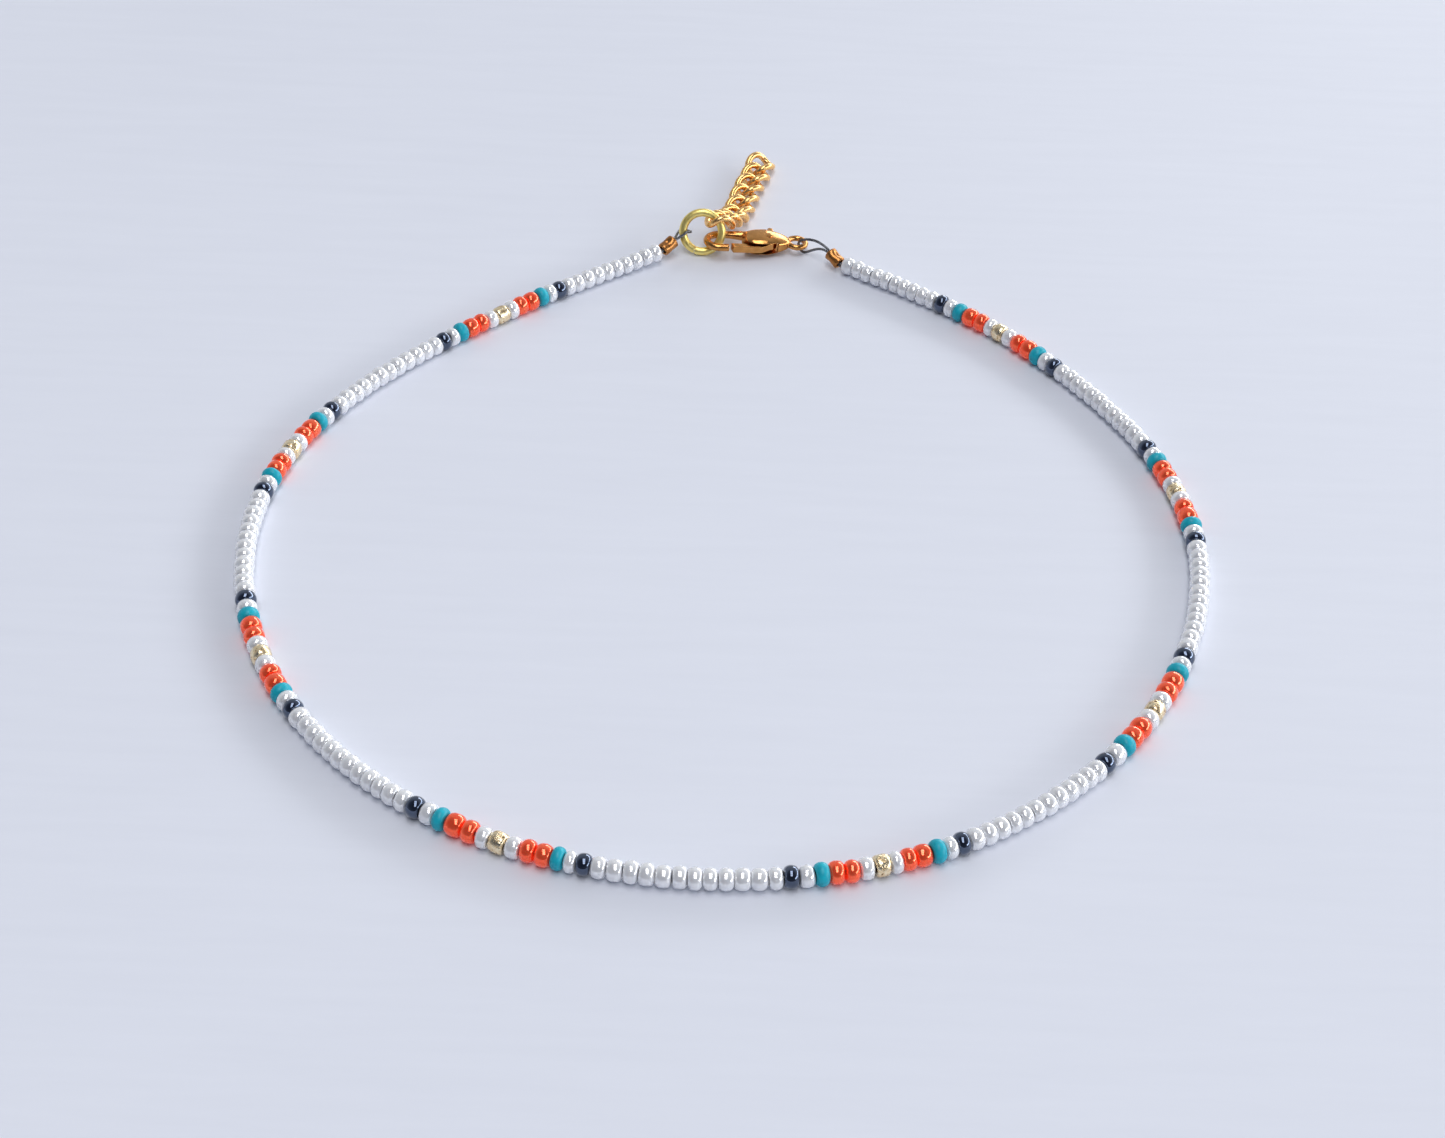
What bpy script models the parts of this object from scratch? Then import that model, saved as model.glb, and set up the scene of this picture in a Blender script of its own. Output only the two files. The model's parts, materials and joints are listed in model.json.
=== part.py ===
"""Seed bead necklace lying on a table with its clasp closed, in metres with +Z up.

The origin is on the table, under the middle of the necklace's box. The front of the neck
loop points to -Y, and the clasp and the extender chain lie at +Y.
"""

import math

import bmesh
import bpy
from mathutils import Matrix, Vector

# Gap kept between pieces that touch on the real necklace
CLEARANCE = 0.0003

# Strand of beads, as the tube that its beads fill
BEAD_DIAMETER = 0.0024
STRAND_SIDES = 8
STRAND_POINT_SPACING = 0.0058
LEFT_END_LIFT = 0.0003
LEFT_END_RUN = 0.009

# Middle of the neck loop, seen from the origin
LOOP_MIDDLE = (0.0, -0.0130)

# Route of the strand on the table, from the middle of the neck loop
STRAND_ROUTE = [
    (-0.0102, 0.0578),
    (-0.0201, 0.0503),
    (-0.0297, 0.0421),
    (-0.0386, 0.0332),
    (-0.0464, 0.0233),
    (-0.0523, 0.0122),
    (-0.0551, -0.0001),
    (-0.0546, -0.0127),
    (-0.0512, -0.0248),
    (-0.0451, -0.0358),
    (-0.0366, -0.0450),
    (-0.0261, -0.0519),
    (-0.0142, -0.0563),
    (-0.0018, -0.0579),
    (0.0108, -0.0568),
    (0.0228, -0.0530),
    (0.0335, -0.0464),
    (0.0425, -0.0376),
    (0.0493, -0.0270),
    (0.0537, -0.0152),
    (0.0554, -0.0027),
    (0.0539, 0.0098),
    (0.0495, 0.0215),
    (0.0428, 0.0322),
    (0.0347, 0.0418),
    (0.0249, 0.0498),
    (0.0150, 0.0566),
]

# Beading wire, and the crimp tubes that close its end loops
WIRE_DIAMETER = 0.00038
WIRE_LEG_GAP = 0.0001
WIRE_LEG_POINTS = 9
WIRE_TURN_POINTS = 10
CRIMP_WALL = 0.0002
CRIMP_LENGTH = 0.0022
CRIMP_SIDES = 14
LEFT_CRIMP_HEADING = 44.0
LEFT_CRIMP_RISE = 20.0
LEFT_CRIMP_DROP = 0.0003
RIGHT_CRIMP_HEADING = 136.0
RIGHT_CRIMP_RISE = 23.0
RIGHT_CRIMP_DROP = 0.00055

# Jump ring on the left end, leaning on the left wire loop
RING_DIAMETER = 0.0064
RING_WIRE = 0.0011
RING_TILT = 65.0
RING_REACH = 0.0017
RING_SEGMENTS = 28
WIRE_SIDES = 8

# Places round the ring, in degrees from its right side towards its top
LEFT_LOOP_ANGLE = 180.0
CHAIN_ANGLE = 36.0
CLASP_ANGLE = -26.0

# Lobster clasp, along its length from the tail eye to the hook's nose
EYE_DIAMETER = 0.0032
EYE_WIRE = 0.0008
EYE_SEGMENTS = 16
BODY_LENGTH = 0.0067
BODY_WIDTH = 0.0042
BODY_THICKNESS = 0.0026
BODY_TAIL_SHARE = 0.62
BODY_ROUNDNESS = 3.0
BODY_REST_SHARE = 0.57
BODY_SEGMENTS = 16
BODY_RINGS = 10
EYE_OVERLAP = 0.0007
HOOK_WIRE = 0.0010
HOOK_ROOT_WIRE = 0.0016
HOOK_BOWL_RADIUS = 0.00165
HOOK_REACH = 0.0032
HOOK_TURN_POINTS = 12
NOSE_LENGTH = 0.0012
CLASP_HEADING = 187.0

# Lever of the clasp, on its pin between the two cheeks of the body
PIN_DIAMETER = 0.0008
PIN_SIDES = 16
HUB_WALL = 0.00045
LEVER_THICKNESS = 0.0010
LEVER_OPENING = 18.0
HUB_START = 100.0
HUB_STEP = 22.0
BORE_SIDES = 12
GATE_FILLET = 0.0005
GATE_WIDTH = 0.0009
NUB_WIDTH = 0.0008
NUB_STAND_OUT = 0.0009
NUB_SET_BACK = 0.0001
PIN_OFFSET = 0.0002
PIN_BACK = 0.0003

# Extender chain of twisted links
LINK_WIRE = 0.0009
LINK_LENGTH = 0.0052
LINK_WIDTH = 0.0044
LINK_TWIST = 45.0
LINK_COUNT = 8
LINK_POINTS = 20

# Route of the chain after the ring, from the middle of the neck loop, with its height
CHAIN_ROUTE = [
    (-0.0010, 0.0648, 0.0028),
    (-0.0001, 0.0678, 0.0014),
    (0.0008, 0.0711, 0.0011),
    (0.0013, 0.0745, 0.0011),
    (0.0022, 0.0778, 0.0011),
    (0.0031, 0.0811, 0.0011),
    (0.0036, 0.0845, 0.0011),
    (0.0035, 0.0879, 0.0011),
    (0.0030, 0.0912, 0.0011),
]

# Colours of the finishes
PEARL_WHITE = (0.86, 0.87, 0.90, 1.0)
YELLOW_GOLD = (0.90, 0.72, 0.32, 1.0)
ROSE_GOLD = (0.86, 0.60, 0.36, 1.0)
COPPER_GOLD = (0.62, 0.34, 0.16, 1.0)
STEEL_GREY = (0.42, 0.43, 0.44, 1.0)

UP = Vector((0.0, 0.0, 1.0))


def clear_scene():
    """Remove every object of the scene that the script starts from."""
    for old in list(bpy.data.objects):
        bpy.data.objects.remove(old, do_unlink=True)


def make_collection(name):
    collection = bpy.data.collections.new(name)
    bpy.context.scene.collection.children.link(collection)
    return collection


def make_material(name, colour, metallic, roughness):
    material = bpy.data.materials.new(name)
    material.use_nodes = True
    shader = material.node_tree.nodes["Principled BSDF"]
    shader.inputs["Base Color"].default_value = colour
    shader.inputs["Metallic"].default_value = metallic
    shader.inputs["Roughness"].default_value = roughness
    return material


def direction(heading, rise):
    """Unit vector with this heading in the table's plane and this rise above it, in degrees."""
    turn = math.radians(heading)
    lift = math.radians(rise)
    flat = math.cos(lift)
    return Vector((flat * math.cos(turn), flat * math.sin(turn), math.sin(lift)))


def smooth_curve(points, steps=12):
    """Dense points on a smooth curve through the given ones."""
    first = 2 * points[0] - points[1]
    last = 2 * points[-1] - points[-2]
    ends = [first, *points, last]
    dense = []
    for before, start, stop, after in zip(ends, ends[1:], ends[2:], ends[3:]):
        for step in range(steps):
            t = step / steps
            line = 2 * start + (stop - before) * t
            bend = (2 * before - 5 * start + 4 * stop - after) * t**2
            twist = (3 * start - before - 3 * stop + after) * t**3
            dense.append(0.5 * (line + bend + twist))
    dense.append(points[-1])
    return dense


def travelled(dense):
    """Distance along the curve at each of its dense points."""
    lengths = [0.0]
    for start, stop in zip(dense, dense[1:]):
        lengths.append(lengths[-1] + (stop - start).length)
    return lengths


def point_at(dense, lengths, distance):
    """Point of the curve this far along it, running straight on past its ends."""
    last = len(dense) - 2
    index = next((i for i in range(last) if lengths[i + 1] > distance), last)
    share = (distance - lengths[index]) / (lengths[index + 1] - lengths[index])
    return dense[index].lerp(dense[index + 1], share)


def tube(name, points, radius, material, bevel_resolution=1, closed=False, radii=None, tilt=0.0):
    """Curve object of straight stretches between points, with a round section and filled caps."""
    curve = bpy.data.curves.new(name, "CURVE")
    curve.dimensions = "3D"
    curve.bevel_depth = radius
    curve.bevel_resolution = bevel_resolution
    curve.use_fill_caps = not closed
    curve.twist_mode = "Z_UP"
    spline = curve.splines.new("POLY")
    spline.points.add(len(points) - 1)
    spline.use_cyclic_u = closed
    for index, point in enumerate(points):
        spline.points[index].co = (*point, 1.0)
        spline.points[index].tilt = tilt
        if radii:
            spline.points[index].radius = radii[index] / radius
    curve.materials.append(material)
    piece = bpy.data.objects.new(name, curve)
    return piece


def mesh_piece(name, shape, material):
    """Object from a finished bmesh, shaded smooth apart from its sharp edges."""
    mesh = bpy.data.meshes.new(name)
    bmesh.ops.recalc_face_normals(shape, faces=shape.faces)
    shape.to_mesh(mesh)
    shape.free()
    mesh.materials.append(material)
    mesh.shade_smooth()
    mesh.set_sharp_from_angle(angle=math.radians(40.0))
    return bpy.data.objects.new(name, mesh)


def as_mesh(piece, collection):
    """The curve object as a mesh object with welded caps, in the same place."""
    collection.objects.link(piece)
    bpy.context.view_layer.update()
    graph = bpy.context.evaluated_depsgraph_get()
    mesh = bpy.data.meshes.new_from_object(piece.evaluated_get(graph))
    shape = bmesh.new()
    shape.from_mesh(mesh)
    bmesh.ops.remove_doubles(shape, verts=shape.verts, dist=1e-6)
    shape.to_mesh(mesh)
    shape.free()
    solid = bpy.data.objects.new(piece.name, mesh)
    solid.matrix_world = piece.matrix_world
    bpy.data.objects.remove(piece, do_unlink=True)
    return solid


def combine(piece, other, operation):
    """Boolean modifier that joins the other object to the piece, or cuts it away."""
    other.hide_render = True
    other.display_type = "WIRE"
    modifier = piece.modifiers.new(f"{operation.lower()}_{other.name}", "BOOLEAN")
    modifier.operation = operation
    modifier.object = other


def strand_line():
    """Dense middle line of the strand, lifting off the table towards its left end."""
    flat = smooth_curve([Vector((x, y, 0.0)) for x, y in STRAND_ROUTE])
    lengths = travelled(flat)
    dense = []
    for point, distance in zip(flat, lengths):
        share = max(0.0, 1.0 - distance / LEFT_END_RUN)
        dense.append(point + UP * (BEAD_DIAMETER / 2 + LEFT_END_LIFT * share**2))
    return dense


def make_strand(dense, material):
    """Tube round the beads, turned so that it rests on flat facets."""
    lengths = travelled(dense)
    count = round(lengths[-1] / STRAND_POINT_SPACING)
    points = [point_at(dense, lengths, lengths[-1] * i / count) for i in range(count + 1)]
    half_facet = math.pi / STRAND_SIDES
    corner_radius = BEAD_DIAMETER / 2 / math.cos(half_facet)
    return tube("bead_strand", points, corner_radius, material, STRAND_SIDES // 2 - 2, tilt=half_facet)


def crimp_bore_radius():
    return WIRE_LEG_GAP / 2 + WIRE_DIAMETER + CLEARANCE


def crimp_start(end, tangent, axis, drop):
    """Where a crimp begins, clear of the strand's end however far it turns from the strand."""
    turn = tangent.angle(axis)
    corner = (crimp_bore_radius() + CRIMP_WALL) * math.sin(turn)
    return end + axis * (CLEARANCE + corner) / math.cos(turn) - UP * drop


def make_crimp(name, start, axis, material):
    """Short turned tube from its start along its axis."""
    inner = crimp_bore_radius()
    outer = inner + CRIMP_WALL
    profile = [(outer, CRIMP_LENGTH), (outer, 0.0), (inner, 0.0), (inner, CRIMP_LENGTH)]
    mesh = bpy.data.meshes.new(name)
    edges = [(i, (i + 1) % len(profile)) for i in range(len(profile))]
    mesh.from_pydata([(radius, 0.0, height) for radius, height in profile], edges, [])
    mesh.materials.append(material)
    piece = bpy.data.objects.new(name, mesh)
    screw = piece.modifiers.new("turned", "SCREW")
    screw.steps = CRIMP_SIDES
    screw.render_steps = CRIMP_SIDES
    screw.use_merge_vertices = True
    screw.merge_threshold = 0.00001
    piece.matrix_world = Matrix.Translation(start) @ axis.to_track_quat("Z", "Y").to_matrix().to_4x4()
    return piece


def make_wire_loop(name, mouth, axis, target, around, held_radius, material):
    """Wire that leaves the crimp's mouth, passes round a held wire at the target and comes back."""
    reach = (target - mouth).length
    bend = mouth + axis * reach / 2
    arrival = (target - bend).normalized()
    side = arrival.cross(around).normalized()
    arrival = around.cross(side).normalized()
    round_radius = held_radius + CLEARANCE + WIRE_DIAMETER / 2
    leg_offset = (WIRE_DIAMETER + WIRE_LEG_GAP) / 2
    first_side = (side - axis * side.dot(axis)).normalized()
    leg = [(mouth - axis * (CRIMP_LENGTH - CLEARANCE / 2), first_side, leg_offset)]
    for step in range(WIRE_LEG_POINTS):
        t = step / WIRE_LEG_POINTS
        middle = mouth.lerp(bend, t).lerp(bend.lerp(target, t), t)
        ease = t * t * (3 - 2 * t)
        offset = leg_offset + (round_radius - leg_offset) * ease
        leg.append((middle, first_side.lerp(side, t).normalized(), offset))
    points = [middle + across * offset for middle, across, offset in leg]
    for step in range(WIRE_TURN_POINTS + 1):
        angle = math.pi * step / WIRE_TURN_POINTS
        points.append(target + round_radius * (side * math.cos(angle) + arrival * math.sin(angle)))
    points += [middle - across * offset for middle, across, offset in reversed(leg)]
    return tube(name, points, WIRE_DIAMETER / 2, material)


def ring_radius():
    """Radius of the ring's middle line."""
    return (RING_DIAMETER - RING_WIRE) / 2


def ring_place(left_mouth):
    """Middle of the ring, which stands on the table beside the left crimp's mouth."""
    tilt = math.radians(RING_TILT)
    heading = direction(LEFT_CRIMP_HEADING, 0.0)
    left = left_mouth + heading * RING_REACH
    height = ring_radius() * math.sin(tilt) + RING_WIRE / 2
    return Vector((left.x + ring_radius(), left.y, height))


def ring_point(middle, angle):
    """Point on the ring's middle line, and the line's direction there."""
    turn = math.radians(angle)
    tilt = math.radians(RING_TILT)
    across = Vector((1.0, 0.0, 0.0))
    upwards = Vector((0.0, math.cos(tilt), math.sin(tilt)))
    outward = across * math.cos(turn) + upwards * math.sin(turn)
    along = upwards * math.cos(turn) - across * math.sin(turn)
    return middle + outward * ring_radius(), along


def make_ring(middle, material):
    bpy.ops.mesh.primitive_torus_add(
        major_radius=ring_radius(),
        minor_radius=RING_WIRE / 2,
        major_segments=RING_SEGMENTS,
        minor_segments=WIRE_SIDES,
    )
    piece = bpy.context.active_object
    piece.name = "jump_ring"
    piece.data.name = "jump_ring"
    piece.data.materials.append(material)
    piece.data.shade_smooth()
    for collection in list(piece.users_collection):
        collection.objects.unlink(piece)
    piece.matrix_world = Matrix.Translation(middle) @ Matrix.Rotation(math.radians(RING_TILT), 4, "X")
    return piece


def body_start():
    """Distance from the end of the tail eye to the body. All clasp distances start there."""
    return EYE_DIAMETER - EYE_OVERLAP


def body_middle():
    return body_start() + BODY_LENGTH / 2


def bowl_middle():
    """Middle of the arc that the hook bends round."""
    return body_start() + BODY_LENGTH + HOOK_REACH


def hook_side():
    """How far the hook's outer side lies from the clasp's middle line."""
    return HOOK_BOWL_RADIUS + HOOK_WIRE / 2


def pin_place():
    return Vector((body_middle() - PIN_BACK, PIN_OFFSET, 0.0))


def hub_radius():
    return PIN_DIAMETER / 2 + CLEARANCE + HUB_WALL


def clasp_matrix(ring_middle):
    """Place of the clasp: its bowl holds the ring, and its body lies on the table.

    In the clasp's own frame +X runs from the tail eye to the hook, and the gate is at +Y.
    """
    held, along = ring_point(ring_middle, CLASP_ANGLE)
    forward = direction(CLASP_HEADING, 0.0)
    slant = abs(along.dot(forward) / along.z)
    half_seat = RING_WIRE / 2 * math.hypot(1.0, slant) + HOOK_WIRE / 2 * slant
    seat = bowl_middle() + HOOK_BOWL_RADIUS - HOOK_WIRE / 2 - CLEARANCE - half_seat
    belly = BODY_THICKNESS * BODY_REST_SHARE
    pitch = math.asin((held.z - belly) / (seat - body_middle()))
    turned = Matrix.Rotation(math.radians(CLASP_HEADING), 4, "Z") @ Matrix.Rotation(-pitch, 4, "Y")
    return Matrix.Translation(held) @ turned @ Matrix.Translation((-seat, 0.0, 0.0))


def make_clasp_blank(material):
    """Swollen body, narrower at its tail."""
    shape = bmesh.new()
    bmesh.ops.create_uvsphere(shape, u_segments=BODY_SEGMENTS, v_segments=BODY_RINGS, radius=1.0)
    bmesh.ops.rotate(shape, verts=shape.verts, matrix=Matrix.Rotation(math.pi / 2, 3, "Y"))
    for vertex in shape.verts:
        point = vertex.co
        power = BODY_ROUNDNESS
        size = (abs(point.x) ** power + abs(point.y) ** power + abs(point.z) ** power) ** (1 / power)
        point = point / size
        narrow = 1.0 + (1.0 - BODY_TAIL_SHARE) * min(0.0, point.x)
        vertex.co = (
            body_middle() + point.x * BODY_LENGTH / 2,
            point.y * BODY_WIDTH / 2 * narrow,
            point.z * BODY_THICKNESS / 2 * narrow,
        )
    return mesh_piece("clasp_body", shape, material)


def make_hook(material):
    """Hook that grows out of the body, bends round the bowl and ends in a short nose."""
    half = HOOK_WIRE / 2
    root = HOOK_ROOT_WIRE / 2
    nose = bowl_middle() - NOSE_LENGTH
    sections = [
        (body_middle(), root - BODY_WIDTH / 2, root),
        (body_start() + BODY_LENGTH, (root + half) / 2 - hook_side(), (root + half) / 2),
    ]
    for step in range(HOOK_TURN_POINTS + 1):
        angle = math.pi * (step / HOOK_TURN_POINTS - 0.5)
        across = HOOK_BOWL_RADIUS * math.sin(angle)
        sections.append((bowl_middle() + HOOK_BOWL_RADIUS * math.cos(angle), across, half))
    sections.append((nose, HOOK_BOWL_RADIUS, half))
    points = [Vector((along, across, 0.0)) for along, across, radius in sections]
    return tube("hook", points, half, material, 2, radii=[section[2] for section in sections])


def make_tail_eye(material):
    bpy.ops.mesh.primitive_torus_add(
        major_radius=(EYE_DIAMETER - EYE_WIRE) / 2,
        minor_radius=EYE_WIRE / 2,
        major_segments=EYE_SEGMENTS,
        minor_segments=WIRE_SIDES,
        location=(EYE_DIAMETER / 2, 0.0, 0.0),
    )
    piece = bpy.context.active_object
    piece.name = "tail_eye"
    piece.data.materials.append(material)
    for collection in list(piece.users_collection):
        collection.objects.unlink(piece)
    return piece


def make_cylinder(name, middle, radius, height, material):
    shape = bmesh.new()
    bmesh.ops.create_cone(
        shape,
        cap_ends=True,
        segments=PIN_SIDES,
        radius1=radius,
        radius2=radius,
        depth=height,
        matrix=Matrix.Translation(middle),
    )
    return mesh_piece(name, shape, material)


def nub_sides():
    """Near and far side of the nub, measured from the pin along the clasp."""
    return -NUB_WIDTH - NUB_SET_BACK, -NUB_SET_BACK


def hub_arc(radius, start, stop):
    """Points round the hub from one angle to another, in degrees."""
    steps = math.ceil((stop - start) / HUB_STEP)
    angles = [math.radians(start + (stop - start) * step / steps) for step in range(steps + 1)]
    return [(radius * math.cos(angle), radius * math.sin(angle)) for angle in angles]


def lever_room():
    """Outline round the pin of the room that the lever swings in: hub pocket, gate slot and nub window."""
    pocket = hub_radius() + CLEARANCE
    ledge = PIN_DIAMETER / 2
    outside = BODY_WIDTH
    slot_start = -hub_radius()
    slot_end = body_start() + BODY_LENGTH + CLEARANCE - pin_place().x
    turn = math.radians(LEVER_OPENING)
    wall = BODY_WIDTH / 2 + PIN_OFFSET
    low, high = nub_sides()
    window_start = low * math.cos(turn) - wall * math.sin(turn) - CLEARANCE
    window_end = high + CLEARANCE
    ledge_angle = math.degrees(math.asin(ledge / pocket))
    slot_angle = math.degrees(math.acos(slot_start / pocket))
    window_angle = math.degrees(math.acos(window_end / pocket))
    outline = [(slot_end, -ledge), (slot_end, outside), (slot_start, outside)]
    outline += hub_arc(pocket, slot_angle, 180.0 + ledge_angle)
    outline += [(window_start, -ledge), (window_start, -outside), (window_end, -outside)]
    outline += hub_arc(pocket, 360.0 - window_angle, 360.0 - ledge_angle)
    return outline


def make_lever_room(material):
    """Cutter for the room that the lever swings in."""
    half_height = LEVER_THICKNESS / 2 + CLEARANCE
    shape = bmesh.new()
    floor = [shape.verts.new(pin_place() + Vector((x, y, -half_height))) for x, y in lever_room()]
    face = shape.faces.new(floor)
    raised = bmesh.ops.extrude_face_region(shape, geom=[face])["geom"]
    top = [item for item in raised if isinstance(item, bmesh.types.BMVert)]
    bmesh.ops.translate(shape, verts=top, vec=(0.0, 0.0, 2 * half_height))
    return mesh_piece("lever_room", shape, material)


def gate_reach():
    """How far the gate's tip may lie from the pin, to swing clear of the hook's nose."""
    nose = bowl_middle() - NOSE_LENGTH - pin_place().x
    near_side = HOOK_BOWL_RADIUS - HOOK_WIRE / 2 - PIN_OFFSET
    return math.hypot(nose, near_side) - CLEARANCE


def lever_outline():
    """Outline of the lever round its pin: hub, gate towards the hook, and nub on the other side."""
    hub = hub_radius()
    outer = hook_side() - PIN_OFFSET
    inner = outer - GATE_WIDTH
    nub_end = -(BODY_WIDTH / 2 + PIN_OFFSET + NUB_STAND_OUT)
    low, high = nub_sides()
    tip = [(math.sqrt(gate_reach() ** 2 - side**2), side) for side in (inner, (inner + outer) / 2, outer)]
    outline = [*tip, (hub, outer)]
    outline += hub_arc(hub, HUB_START, 360.0 - math.degrees(math.acos(low / hub)))
    outline += [(low, nub_end), (high, nub_end)]
    outline += hub_arc(hub, 360.0 - math.degrees(math.acos(high / hub)), 360.0)
    outline.append((hub + GATE_FILLET, inner))
    return outline


def make_lever(place, material):
    """Flat lever cut round its pin, with its origin on the pin's axis."""
    curve = bpy.data.curves.new("clasp_lever", "CURVE")
    curve.dimensions = "2D"
    curve.fill_mode = "BOTH"
    curve.extrude = LEVER_THICKNESS / 2
    bore = PIN_DIAMETER / 2 + CLEARANCE
    hole = [
        (bore * math.cos(2 * math.pi * i / BORE_SIDES), bore * math.sin(2 * math.pi * i / BORE_SIDES))
        for i in range(BORE_SIDES)
    ]
    for outline in (lever_outline(), hole):
        spline = curve.splines.new("POLY")
        spline.points.add(len(outline) - 1)
        spline.use_cyclic_u = True
        for point, (x, y) in zip(spline.points, outline):
            point.co = (x, y, 0.0, 1.0)
    curve.materials.append(material)
    piece = bpy.data.objects.new("clasp_lever", curve)
    piece.matrix_world = place @ Matrix.Translation(pin_place())
    return piece


def make_clasp(place, parts, cutters, material):
    """Body, hook and eye cast as one. The lever's room is cut out round the pin, which stays in it."""
    body = make_clasp_blank(material)
    joined = [as_mesh(make_hook(material), cutters), make_tail_eye(material)]
    room = make_lever_room(material)
    pin = make_cylinder("pin", pin_place(), PIN_DIAMETER / 2, BODY_THICKNESS, material)
    parts.objects.link(body)
    body.matrix_world = place
    for other in joined:
        combine(body, other, "UNION")
    combine(room, pin, "DIFFERENCE")
    combine(body, room, "DIFFERENCE")
    for other in [*joined, room, pin]:
        cutters.objects.link(other)
        other.matrix_world = place @ other.matrix_world
    return body


def link_half():
    """Half the length of a link's middle line."""
    return (LINK_LENGTH - LINK_WIRE) / 2


def link_curve(material):
    """Oval link, twisted so that each end stands across its neighbour's."""
    half_width = (LINK_WIDTH - LINK_WIRE) / 2
    points = []
    for step in range(LINK_POINTS):
        angle = 2 * math.pi * step / LINK_POINTS
        along = math.cos(angle)
        twist = math.radians(LINK_TWIST) * along
        across = half_width * math.sin(angle)
        points.append(Vector((link_half() * along, across * math.cos(twist), across * math.sin(twist))))
    return tube("chain_link", points, LINK_WIRE / 2, material, closed=True)


def make_chain(ring_middle, material):
    """Links threaded through each other along the chain's route, the first one round the ring."""
    held = ring_point(ring_middle, CHAIN_ANGLE)[0]
    dense = smooth_curve([held] + [Vector(point) for point in CHAIN_ROUTE])
    lengths = travelled(dense)
    pattern = link_curve(material)
    first = link_half() - (LINK_WIRE + RING_WIRE) / 2 - CLEARANCE
    pitch = 2 * link_half() - LINK_WIRE - CLEARANCE
    links = []
    for index in range(LINK_COUNT):
        middle = first + index * pitch
        start = point_at(dense, lengths, middle - pitch / 2)
        stop = point_at(dense, lengths, middle + pitch / 2)
        forward = (stop - start).normalized()
        side = UP.cross(forward).normalized()
        above = forward.cross(side)
        turned = Matrix((forward, side, above)).transposed().to_4x4()
        link = bpy.data.objects.new(f"chain_link_{index + 1}", pattern.data)
        link.matrix_world = Matrix.Translation((start + stop) / 2) @ turned
        links.append(link)
    bpy.data.objects.remove(pattern)
    return links


def main():
    clear_scene()
    parts = make_collection("seed_bead_necklace")
    cutters = make_collection("cutters")
    pearl = make_material("beads", PEARL_WHITE, 0.0, 0.25)
    yellow = make_material("yellow_gold", YELLOW_GOLD, 1.0, 0.25)
    rose = make_material("rose_gold", ROSE_GOLD, 1.0, 0.3)
    copper = make_material("copper_gold", COPPER_GOLD, 1.0, 0.35)
    steel = make_material("beading_wire", STEEL_GREY, 1.0, 0.4)

    line = strand_line()
    left_axis = direction(LEFT_CRIMP_HEADING, LEFT_CRIMP_RISE)
    right_axis = direction(RIGHT_CRIMP_HEADING, RIGHT_CRIMP_RISE)
    left_start = crimp_start(line[0], line[0] - line[1], left_axis, LEFT_CRIMP_DROP)
    right_start = crimp_start(line[-1], line[-1] - line[-2], right_axis, RIGHT_CRIMP_DROP)
    left_mouth = left_start + left_axis * CRIMP_LENGTH
    right_mouth = right_start + right_axis * CRIMP_LENGTH
    ring_middle = ring_place(left_mouth)
    place = clasp_matrix(ring_middle)

    pieces = [
        make_strand(line, pearl),
        make_crimp("crimp_left", left_start, left_axis, copper),
        make_crimp("crimp_right", right_start, right_axis, copper),
        make_ring(ring_middle, yellow),
        make_lever(place, rose),
        *make_chain(ring_middle, rose),
    ]
    held, along = ring_point(ring_middle, LEFT_LOOP_ANGLE)
    pieces.append(make_wire_loop("wire_loop_left", left_mouth, left_axis, held, along, RING_WIRE / 2, steel))

    eye = place @ Vector((EYE_DIAMETER / 2, 0.0, 0.0))
    plane = place.to_3x3()
    outward = right_mouth - eye
    outward -= plane @ UP * outward.dot(plane @ UP)
    outward.normalize()
    rim = eye + outward * (EYE_DIAMETER - EYE_WIRE) / 2
    around = outward.cross(plane @ UP)
    held_radius = EYE_WIRE / 2
    pieces.append(make_wire_loop("wire_loop_right", right_mouth, right_axis, rim, around, held_radius, steel))

    for piece in pieces:
        parts.objects.link(piece)
    make_clasp(place, parts, cutters, rose)

    middle = bpy.data.objects.new("loop_middle", None)
    parts.objects.link(middle)
    for piece in [*parts.objects, *cutters.objects]:
        if piece is not middle:
            piece.parent = middle
    middle.location = (*LOOP_MIDDLE, 0.0)


main()
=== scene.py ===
"""Looks of the seed bead necklace, which lies on a pale floor with its clasp closed."""

import json
import math
import random

import bmesh
import bpy
from mathutils import Matrix, Vector, noise

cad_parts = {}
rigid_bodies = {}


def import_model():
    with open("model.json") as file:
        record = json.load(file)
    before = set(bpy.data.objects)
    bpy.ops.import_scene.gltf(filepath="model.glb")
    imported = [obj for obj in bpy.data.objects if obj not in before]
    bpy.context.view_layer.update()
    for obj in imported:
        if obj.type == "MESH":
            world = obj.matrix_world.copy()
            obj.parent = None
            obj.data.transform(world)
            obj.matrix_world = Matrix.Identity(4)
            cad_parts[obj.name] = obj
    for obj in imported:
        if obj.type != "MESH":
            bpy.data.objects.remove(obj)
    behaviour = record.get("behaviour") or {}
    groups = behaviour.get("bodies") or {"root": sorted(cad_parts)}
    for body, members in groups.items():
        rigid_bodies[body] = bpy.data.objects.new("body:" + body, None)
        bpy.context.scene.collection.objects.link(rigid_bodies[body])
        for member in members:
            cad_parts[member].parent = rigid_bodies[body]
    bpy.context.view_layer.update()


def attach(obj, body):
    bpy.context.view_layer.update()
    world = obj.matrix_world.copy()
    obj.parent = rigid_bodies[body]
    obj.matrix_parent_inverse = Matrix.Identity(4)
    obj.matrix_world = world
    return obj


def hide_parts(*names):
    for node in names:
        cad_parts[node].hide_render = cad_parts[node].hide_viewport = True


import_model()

MM = 0.001
UP = Vector((0.0, 0.0, 1.0))

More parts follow.
